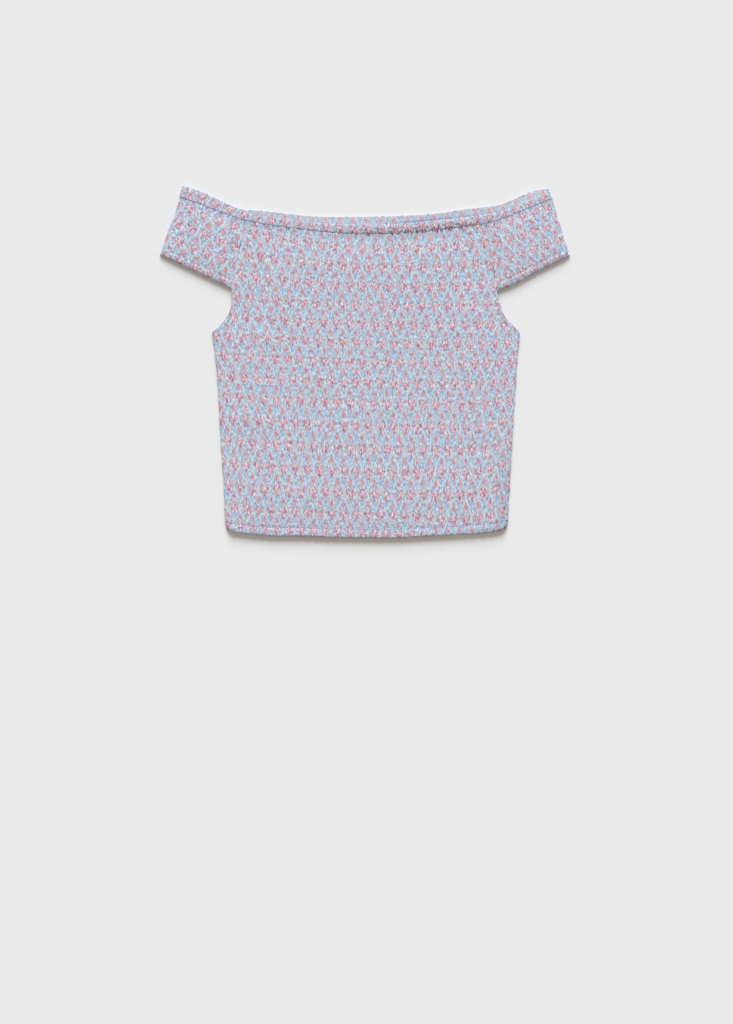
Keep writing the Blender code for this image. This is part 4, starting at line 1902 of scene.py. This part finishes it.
    def make(self) -> Material:
        """Builds the material.

        Returns:
            The material.
        """
        shader = Shader.fresh(self.name)
        column, row, _ = shader.parts(shader.wire(shader.node("UVMap", {"uv_map": "Print"})), "XYZ")
        across, down = column * self.cell_width, row * self.cell_height
        grain = shader.vector(across * self.grain[0], down * self.grain[1])
        crinkle, hue, strand = shader.parts(shader.noise(grain, 1.0, 1.0, 0.7, "Color"))
        drift = shader.parts(shader.noise(shader.place(), self.drift_scale, output="Color"))
        by_noise, by_crinkles = self.column_drift
        moved_column = column + (drift[0] - 0.5) * by_noise + (hue - 0.5) * by_crinkles
        by_noise, by_crinkles = self.row_drift
        moved_row = row + (drift[1] - 0.5) * by_noise + (strand - 0.5) * by_crinkles
        x, y, away, number = self.cell(shader, moved_column, moved_row)
        whole = shader.node("VectorMath", {"operation": "FLOOR"}, {0: number})
        chance = shader.node("TexWhiteNoise", None, {"Vector": shader.wire(whole)})
        chances = shader.parts(shader.wire(chance, "Color"))
        x = x + (chances[0] - 0.5) * self.cell_drift[0]
        y = y + (chances[1] - 0.5) * self.cell_drift[1]
        strength = shader.rise(drift[2], 0.25, 0.5) * 0.35 + 0.65
        strength = strength * (shader.rise(crinkle, 0.34, 0.48) * 0.35 + 0.65)
        busy = self.sprig[self.flower_back].mask(shader, x, y)
        masks = [spot.mask(shader, x, y) * strength for spot in self.sprig]
        colour = self.cloth(shader, hue, away)
        colour, flower = self.printed(shader, colour, masks, chances, (hue, strand))
        # Pale strands: painted highlights on the fine shirring, which also raise the bump.
        grain = shader.vector(across * self.strand_grain[0], down * self.strand_grain[1], 7.0)
        strands = shader.parts(shader.noise(grain, 1.0, 1.0, 0.6, "Color"))
        pale_strand, warm, green = (part - 0.5 for part in strands)
        long_streak = shader.rise(abs(pale_strand), 0.045, 0.0) * 0.75
        streak = (shader.rise(abs(strand - 0.5), 0.05, 0.0) * 0.5).math("MAXIMUM", long_streak)
        colour = shader.mix(streak * (busy * 0.4 + 0.7), colour, shade(*self.pale))
        # Mottle: the cloth's uneven tone and painted light and shade of its crinkles.
        mottle = (crinkle - 0.5) * self.contrast * (busy * 0.45 + 0.86) + 1.0
        warmth = (1.0 - flower * 0.75) * self.warmth
        warm, green = warm * warmth, green * warmth * 0.5
        tint = shader.vector(mottle + warm, mottle + green, mottle - warm * 0.7)
        # Painted shade from the points' Shade attribute.
        colour = self.paint_shade(shader, shader.tinted(colour, tint), column, row, shader.attribute("Shade"))
        height = crinkle + streak * 0.5
        bump = shader.node("Bump", None, {"Strength": 0.6, "Distance": 0.0006, "Height": height})
        shader.set(
            Base_Color=colour,
            Roughness=0.86,
            Sheen_Weight=0.12,
            Sheen_Roughness=0.5,
            Specular_IOR_Level=0.25,
            Normal=shader.wire(bump),
        )
        return shader.material


@dataclass(frozen=True)
class GatheredJersey(PrintedJersey):
    """The same jersey gathered on elastic: paler inside, with painted shade in the tucks where it bunches
    and close above the front run.

    Attributes:
        name: Name of the material.
        ground: Cloth between the sprigs, a little bluer.
        grain: Its crinkles, closer together across.
        warmth: How strongly long streaks warm and cool it.
        inside: Tint of the cloth's inside on the back run.
        inside_share: Strength of that tint.
        inside_row: Row of the print at which the front run ends and the back run begins.
        tuck: Painted shade colour deep in the tucks.
        tuck_grain: Noise of the tucks' painted shade to a column and to a row.
        contact_shade: Tint of the painted shade on the back run close above the front one.
    """

    name: str = "gathered_jersey"
    ground: Screen = (164, 192, 212)
    grain: Pair = (0.66, 0.3)
    warmth: float = 0.5
    inside: Screen = (228, 216, 212)
    inside_share: float = 0.24
    inside_row: float = -1.22
    tuck: Screen = (112, 70, 102)
    tuck_grain: Pair = (7.5, 9.0)
    contact_shade: tuple[float, float, float, float] = (0.36, 0.44, 0.68, 1.0)

    def paint_shade(self, shader: Shader, colour: Wire, column: Wire, row: Wire, shaded: Wire) -> Wire:
        """Adds the painted grey shade on the rim, the inside's tint and its painted shade, and the painted
        shade in the front run's tucks.

        Args:
            shader: The material.
            colour: The printed cloth.
            column: Column of the print.
            row: Row of the print.
            shaded: How far the cloth is darkened by painted shade, below 0 on the rim.

        Returns:
            The finished colour.
        """
        # Painted grey shade on the rim, carried as shade below 0.
        rim = (shaded * -1.0).math("MAXIMUM", 0.0)
        shaded = shaded.math("MAXIMUM", 0.0)
        colour = super().paint_shade(shader, colour, column, row, rim)
        inside = shader.rise(row, self.inside_row, self.inside_row - 0.02)
        colour = shader.mix(inside * self.inside_share, colour, shade(*self.inside))
        # Painted shade on the back run close above the front run.
        colour = shader.mix(inside * shaded, colour, shader.tinted(colour, self.contact_shade))
        # Painted shade in the front run's tucks, broken up by noise.
        grain = shader.vector(column * self.tuck_grain[0], row * self.tuck_grain[1], 3.0)
        folds = shader.rise(shader.noise(grain, 1.0, 1.0, 0.7), 0.53, 0.43)
        return shader.mix(shaded * (1.0 - inside) * folds, colour, shade(*self.tuck))


@dataclass(frozen=True)
class Thread:
    """Sewing thread.

    Attributes:
        name: Name of the material.
        colour: Its screen colour.
        lightness: How much lighter its lightest fibres are.
        fibre_scale: Scale of its fibres.
    """

    name: str = "sewing_thread"
    colour: Screen = (104, 128, 176)
    lightness: float = 1.25
    fibre_scale: float = 2600.0

    def make(self) -> Material:
        """Builds the material.

        Returns:
            The material.
        """
        shader = Shader.fresh(self.name)
        fibres = shader.noise(shader.place(), self.fibre_scale)
        light = tuple(min(1.0, part * self.lightness) for part in shade(*self.colour))
        shader.set(
            Base_Color=shader.mix(fibres, shade(*self.colour), light),
            Roughness=0.7,
            Sheen_Weight=0.1,
        )
        return shader.material


@dataclass
class Stitching:
    """Rows of stitches on the top's lines, joined to one piece for each line.

    Attributes:
        length: Length of a stitch.
        spacing: From one stitch to the next.
        radius: Half the thread's thickness.
        rings: Along a stitch, by shares of its length: share of its radius, and height over the line.
        sides: Sides of a stitch, six, so that two faces close each end.
    """

    length: float = 2.5
    spacing: float = 3.3
    radius: float = 0.26
    rings: tuple[Triple, ...] = (
        (0.0, 0.35, -0.32), (0.18, 0.9, 0.02), (0.5, 1.0, 0.1), (0.82, 0.9, 0.02),
        (1.0, 0.35, -0.32),
    )
    sides: int = 6

    def build(self, name: str, line: Array, material: Material, finish: Finish) -> Piece:
        """Lays stitches along a line.

        Args:
            name: Name of the piece.
            line: Points of the line, in millimetres.
            material: The thread.
            finish: The slot in the record; not used.

        Returns:
            The piece.
        """
        reached = np.concatenate([[0.0], np.cumsum(np.linalg.norm(np.diff(line, axis=0), axis=1))])
        starts = np.arange(1.0, reached[-1] - self.spacing, self.spacing)
        share, girth, dip = np.array(self.rings).T
        at = starts[:, None] + share[None, :] * self.length
        middle = np.stack([np.interp(at, reached, line[:, k]) for k in range(3)], axis=-1)
        middle[..., 2] += dip[None, :]
        ahead = middle[:, -1] - middle[:, 0]
        ahead = ahead / np.linalg.norm(ahead, axis=1)[:, None]
        aside = np.cross((0.0, 0.0, 1.0), ahead)
        up = np.cross(ahead, aside)
        angle = np.arange(self.sides) * 2 * np.pi / self.sides
        ring = np.cos(angle)[:, None] * aside[:, None, None] + np.sin(angle)[:, None] * up[:, None, None]
        points = middle[:, :, None] + ring * (girth * self.radius)[None, :, None, None]
        count, rings = points.shape[:2]
        number = np.arange(count * rings * self.sides).reshape(count, rings, self.sides)
        nxt = np.roll(number, -1, axis=2)
        tubes = np.stack([number[:, :-1], nxt[:, :-1], nxt[:, 1:], number[:, 1:]], axis=-1)
        caps = []
        for end, order in ((0, -1), (-1, 1)):
            ring = number[:, end, ::order]
            caps += [ring[:, (0, 1, 2, 3)], ring[:, (0, 3, 4, 5)]]
        quads = np.vstack([tubes.reshape(-1, 4), *caps])
        item = mesh_object(name, points.reshape(-1, 3), quads, np.zeros((len(quads), 4, 2)))
        item.data.materials.append(material)
        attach(item, "root")
        LOG.info("%s: %d stitches", name, count)
        return item


@dataclass
class Studio:
    """Pale floor, soft light from the top of the picture, and the camera straight above.

    Attributes:
        picture: Width and height of the picture in pixels.
        pixel: Size of one pixel on the floor, in millimetres.
        centre_pixel: Pixel at which the frame's origin shows.
        distance: From the camera to the floor, in metres.
        sensor: Width of the camera's sensor, in its own millimetres.
        sight: How far the camera sees, in metres.
        floor_side: Side of the floor, in metres.
        floor_drop: How far the floor lies below the top, in metres.
        floor_grey: Its screen grey.
        sun: Strength of the soft main light.
        sun_from_above: Angle of the main light from straight above, in degrees.
        sun_spread: Its spread, in degrees, which softens the shadows.
        sky: Strength of the light from all round.
        sun_colour: Colour of the main light.
        sky_colour: Colour of the light from all round, which tints the shadows.
    """

    picture: tuple[int, int] = (733, 1024)
    pixel: float = 1.125
    centre_pixel: Pair = (364.6, 363.2)
    distance: float = 3.0
    sensor: float = 36.0
    sight: float = 50.0
    floor_side: float = 14.0
    floor_drop: float = 0.0001
    floor_grey: int = 231
    sun: float = 4.3
    sun_from_above: float = 63.0
    sun_spread: float = 32.0
    sky: float = 0.408
    sun_colour: Triple = (0.935, 1.0, 1.075)
    sky_colour: Triple = (1.1, 1.0, 0.89)

    def camera(self) -> None:
        """Sets the camera above the middle of the picture."""
        data = bpy.data.cameras.new("picture_camera")
        long_side = self.picture[1] * self.pixel * MM
        data.sensor_width = self.sensor
        data.lens = self.sensor * self.distance / long_side
        data.clip_end = self.sight
        item = bpy.data.objects.new("picture_camera", data)
        off_x = (self.picture[0] / 2 - self.centre_pixel[0]) * self.pixel * MM
        off_y = (self.centre_pixel[1] - self.picture[1] / 2) * self.pixel * MM
        item.location = (off_x, off_y, self.distance)
        bpy.context.scene.collection.objects.link(item)
        bpy.context.scene.camera = item

    def floor(self) -> None:
        """Lays the floor."""
        bpy.ops.object.select_all(action="DESELECT")
        bpy.ops.mesh.primitive_plane_add(size=self.floor_side, location=(0.0, 0.0, -self.floor_drop))
        item = bpy.context.active_object
        item.name = "floor"
        shader = Shader.fresh("pale_floor")
        grey = shade(self.floor_grey, self.floor_grey, self.floor_grey)
        shader.set(Base_Color=grey, Roughness=0.95, Specular_IOR_Level=0.0)
        item.data.materials.append(shader.material)

    def lights(self) -> None:
        """Sets the main light and the light from all round."""
        data = bpy.data.lights.new("main_light", "SUN")
        data.energy = self.sun
        data.angle = math.radians(self.sun_spread)
        data.color = self.sun_colour
        item = bpy.data.objects.new("main_light", data)
        item.rotation_euler = (math.radians(-self.sun_from_above), 0.0, 0.0)
        bpy.context.scene.collection.objects.link(item)
        world = bpy.data.worlds.new("studio")
        world.use_nodes = True
        background = world.node_tree.nodes["Background"]
        background.inputs["Color"].default_value = (*self.sky_colour, 1.0)
        background.inputs["Strength"].default_value = self.sky
        bpy.context.scene.world = world
        bpy.context.scene.view_settings.view_transform = "Standard"

    def build(self) -> None:
        """Makes camera, floor and lights."""
        self.camera()
        self.floor()
        self.lights()
        LOG.info("studio ready")


@dataclass
class Top:
    """The whole top, built piece by piece.

    Attributes:
        front: The front panel.
        back: The back panel.
        casing: The strip along the neckline.
        left: The sleeve on the viewer's left.
        right: The sleeve on the viewer's right.
        stitching: Stitches of the hems.
        neck_stitching: Stitches along the casing, of a thicker thread.
        thread: Thread of the hems.
        neck_thread: Thread along the casing, lighter than the hem thread: partly its own colour and partly
            painted light against the casing's shade.
        neck_line: First and last x of the stitches along the casing.
        neck_line_drop: How far below the casing they lie.
        neck_line_lift: How far they lie over the tongue.
        neck_line_sink: How far they sink where the casing stands up.
        hem_line: First and last x of the stitches of the hem.
        hem_line_lift: How far they lie over the cloth.
        sleeve_line: Shares of the way out at which the sleeves' stitches begin and end.
        sleeve_length: Rough length of the sleeves, by which their stitches are placed.
        sleeve_line_lift: How far they lie over the cloth.
    """

    front: FrontPanel = field(default_factory=FrontPanel)
    back: BackPanel = field(default_factory=BackPanel)
    casing: NeckCasing = field(default_factory=NeckCasing)
    left: Sleeve = field(
        default_factory=lambda: Sleeve(
            side=Side.LEFT,
            fold=((-207.7, 186.6), (-212.2, 172.4), (-219.8, 152.1), (-231.6, 124.0)),
            hem=((-149.8, 83.5), (-176.2, 95.9), (-203.2, 108.8), (-227.0, 120.2)),
            creases=(
                Crease((-142.0, 148.0), (-176.0, 118.0), 6.0, 0.25, 2.0),
                Crease((-186.0, 172.0), (-196.0, 132.0), 4.0, -0.4, -2.0),
                Crease((-158.0, 160.0), (-166.0, 108.0), 4.0, 0.35, 2.0),
            ),
            column_step=(15.9, -6.4),
            row_step=(-6.4, -18.3),
            sprig=(-164.0, 159.9),
        )
    )
    right: Sleeve = field(
        default_factory=lambda: Sleeve(
            side=Side.RIGHT,
            fold=((211.3, 184.5), (216.6, 165.6), (223.3, 145.4), (232.3, 123.0)),
            hem=((149.0, 80.6), (168.1, 88.0), (184.5, 97.0), (228.2, 118.6)),
            creases=(
                Crease((144.0, 146.0), (178.0, 116.0), 6.5, 0.2, -2.0),
                Crease((176.0, 166.0), (192.0, 126.0), 5.5, -0.25, 2.0),
                Crease((160.0, 156.0), (164.0, 104.0), 4.0, 0.35, -2.0),
            ),
            column_step=(13.8, 4.7),
            row_step=(6.5, -18.3),
            sprig=(163.0, 160.2),
        )
    )
    stitching: Stitching = field(default_factory=Stitching)
    neck_stitching: Stitching = field(
        default_factory=lambda: Stitching(length=3.0, spacing=5.2, radius=0.34)
    )
    thread: Thread = Thread()
    # Lighter blue: partly the thread's own colour and partly painted light against the shade under the
    # casing.
    neck_thread: Thread = Thread(name="neck_thread", colour=(138, 170, 220))
    neck_line: Pair = (-204.0, 206.0)
    neck_line_drop: float = 0.25
    neck_line_lift: float = 0.38
    neck_line_sink: float = 0.96
    hem_line: Pair = (-153.0, 157.0)
    hem_line_lift: float = 0.12
    sleeve_line: Pair = (0.03, 0.95)
    sleeve_length: float = 72.0
    sleeve_line_lift: float = 0.15

    def neck_stitches(self) -> Array:
        """Lays out the stitches along the casing.

        Returns:
            Points of their line, in millimetres.
        """
        x = np.linspace(*self.neck_line, 400)
        y = FRONT_NECK.panel_y(x) - FRONT_NECK.tuck - self.neck_line_drop
        on_tongue = self.front.layers.upper_inside + self.front.layers.tongue + self.neck_line_lift
        height = on_tongue - self.neck_line_sink * read_over(x, self.casing.plump)
        return np.stack([x, y, height], axis=1)

    def hem_stitches(self) -> Array:
        """Lays out the stitches of the hem.

        Returns:
            Points of their line, in millimetres.
        """
        x = np.linspace(*self.hem_line, 300)
        y = self.front.cut.hem_y(x) + self.front.hem_width
        at = self.front.laid(x, y, np.full_like(x, self.front.stitch_row))
        return np.stack([x, y, self.front.faces(at)[0] + self.hem_line_lift], axis=1)

    def sleeve_stitches(self, sleeve: Sleeve) -> Array:
        """Lays out the stitches of one sleeve's hem.

        Args:
            sleeve: The sleeve.

        Returns:
            Points of their line, in millimetres.
        """
        share = np.linspace(*self.sleeve_line, 80)
        down = np.array([1 - sleeve.hem_width / self.sleeve_length])
        places = sleeve.half(FRONT_NECK, share, down)[0]
        return raised(places, sleeve.layers.upper_outside + self.sleeve_line_lift)

    def build(self) -> None:
        """Makes every piece and its sewing."""
        jersey = PrintedJersey().make()
        casing = GatheredJersey().make()
        thread = self.thread.make()
        neck_thread = self.neck_thread.make()
        self.back.build(jersey)
        self.front.build(jersey)
        self.casing.build(casing)
        sleeves = (self.left, self.right)
        for sleeve in sleeves:
            sleeve.build(jersey)
        self.neck_stitching.build("neck_stitches", self.neck_stitches(), neck_thread, Finish.CASING)
        self.stitching.build("hem_stitches", self.hem_stitches(), thread, Finish.SMOCKED)
        for sleeve in sleeves:
            line = self.sleeve_stitches(sleeve)
            self.stitching.build(f"{sleeve.name}_hem_stitches", line, thread, Finish.SMOCKED)


def main() -> None:
    """Loads the frame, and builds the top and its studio."""
    logging.basicConfig(level=logging.INFO, format="%(name)s: %(message)s")
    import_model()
    Studio().build()
    Top().build()


if __name__ == "__main__":
    main()
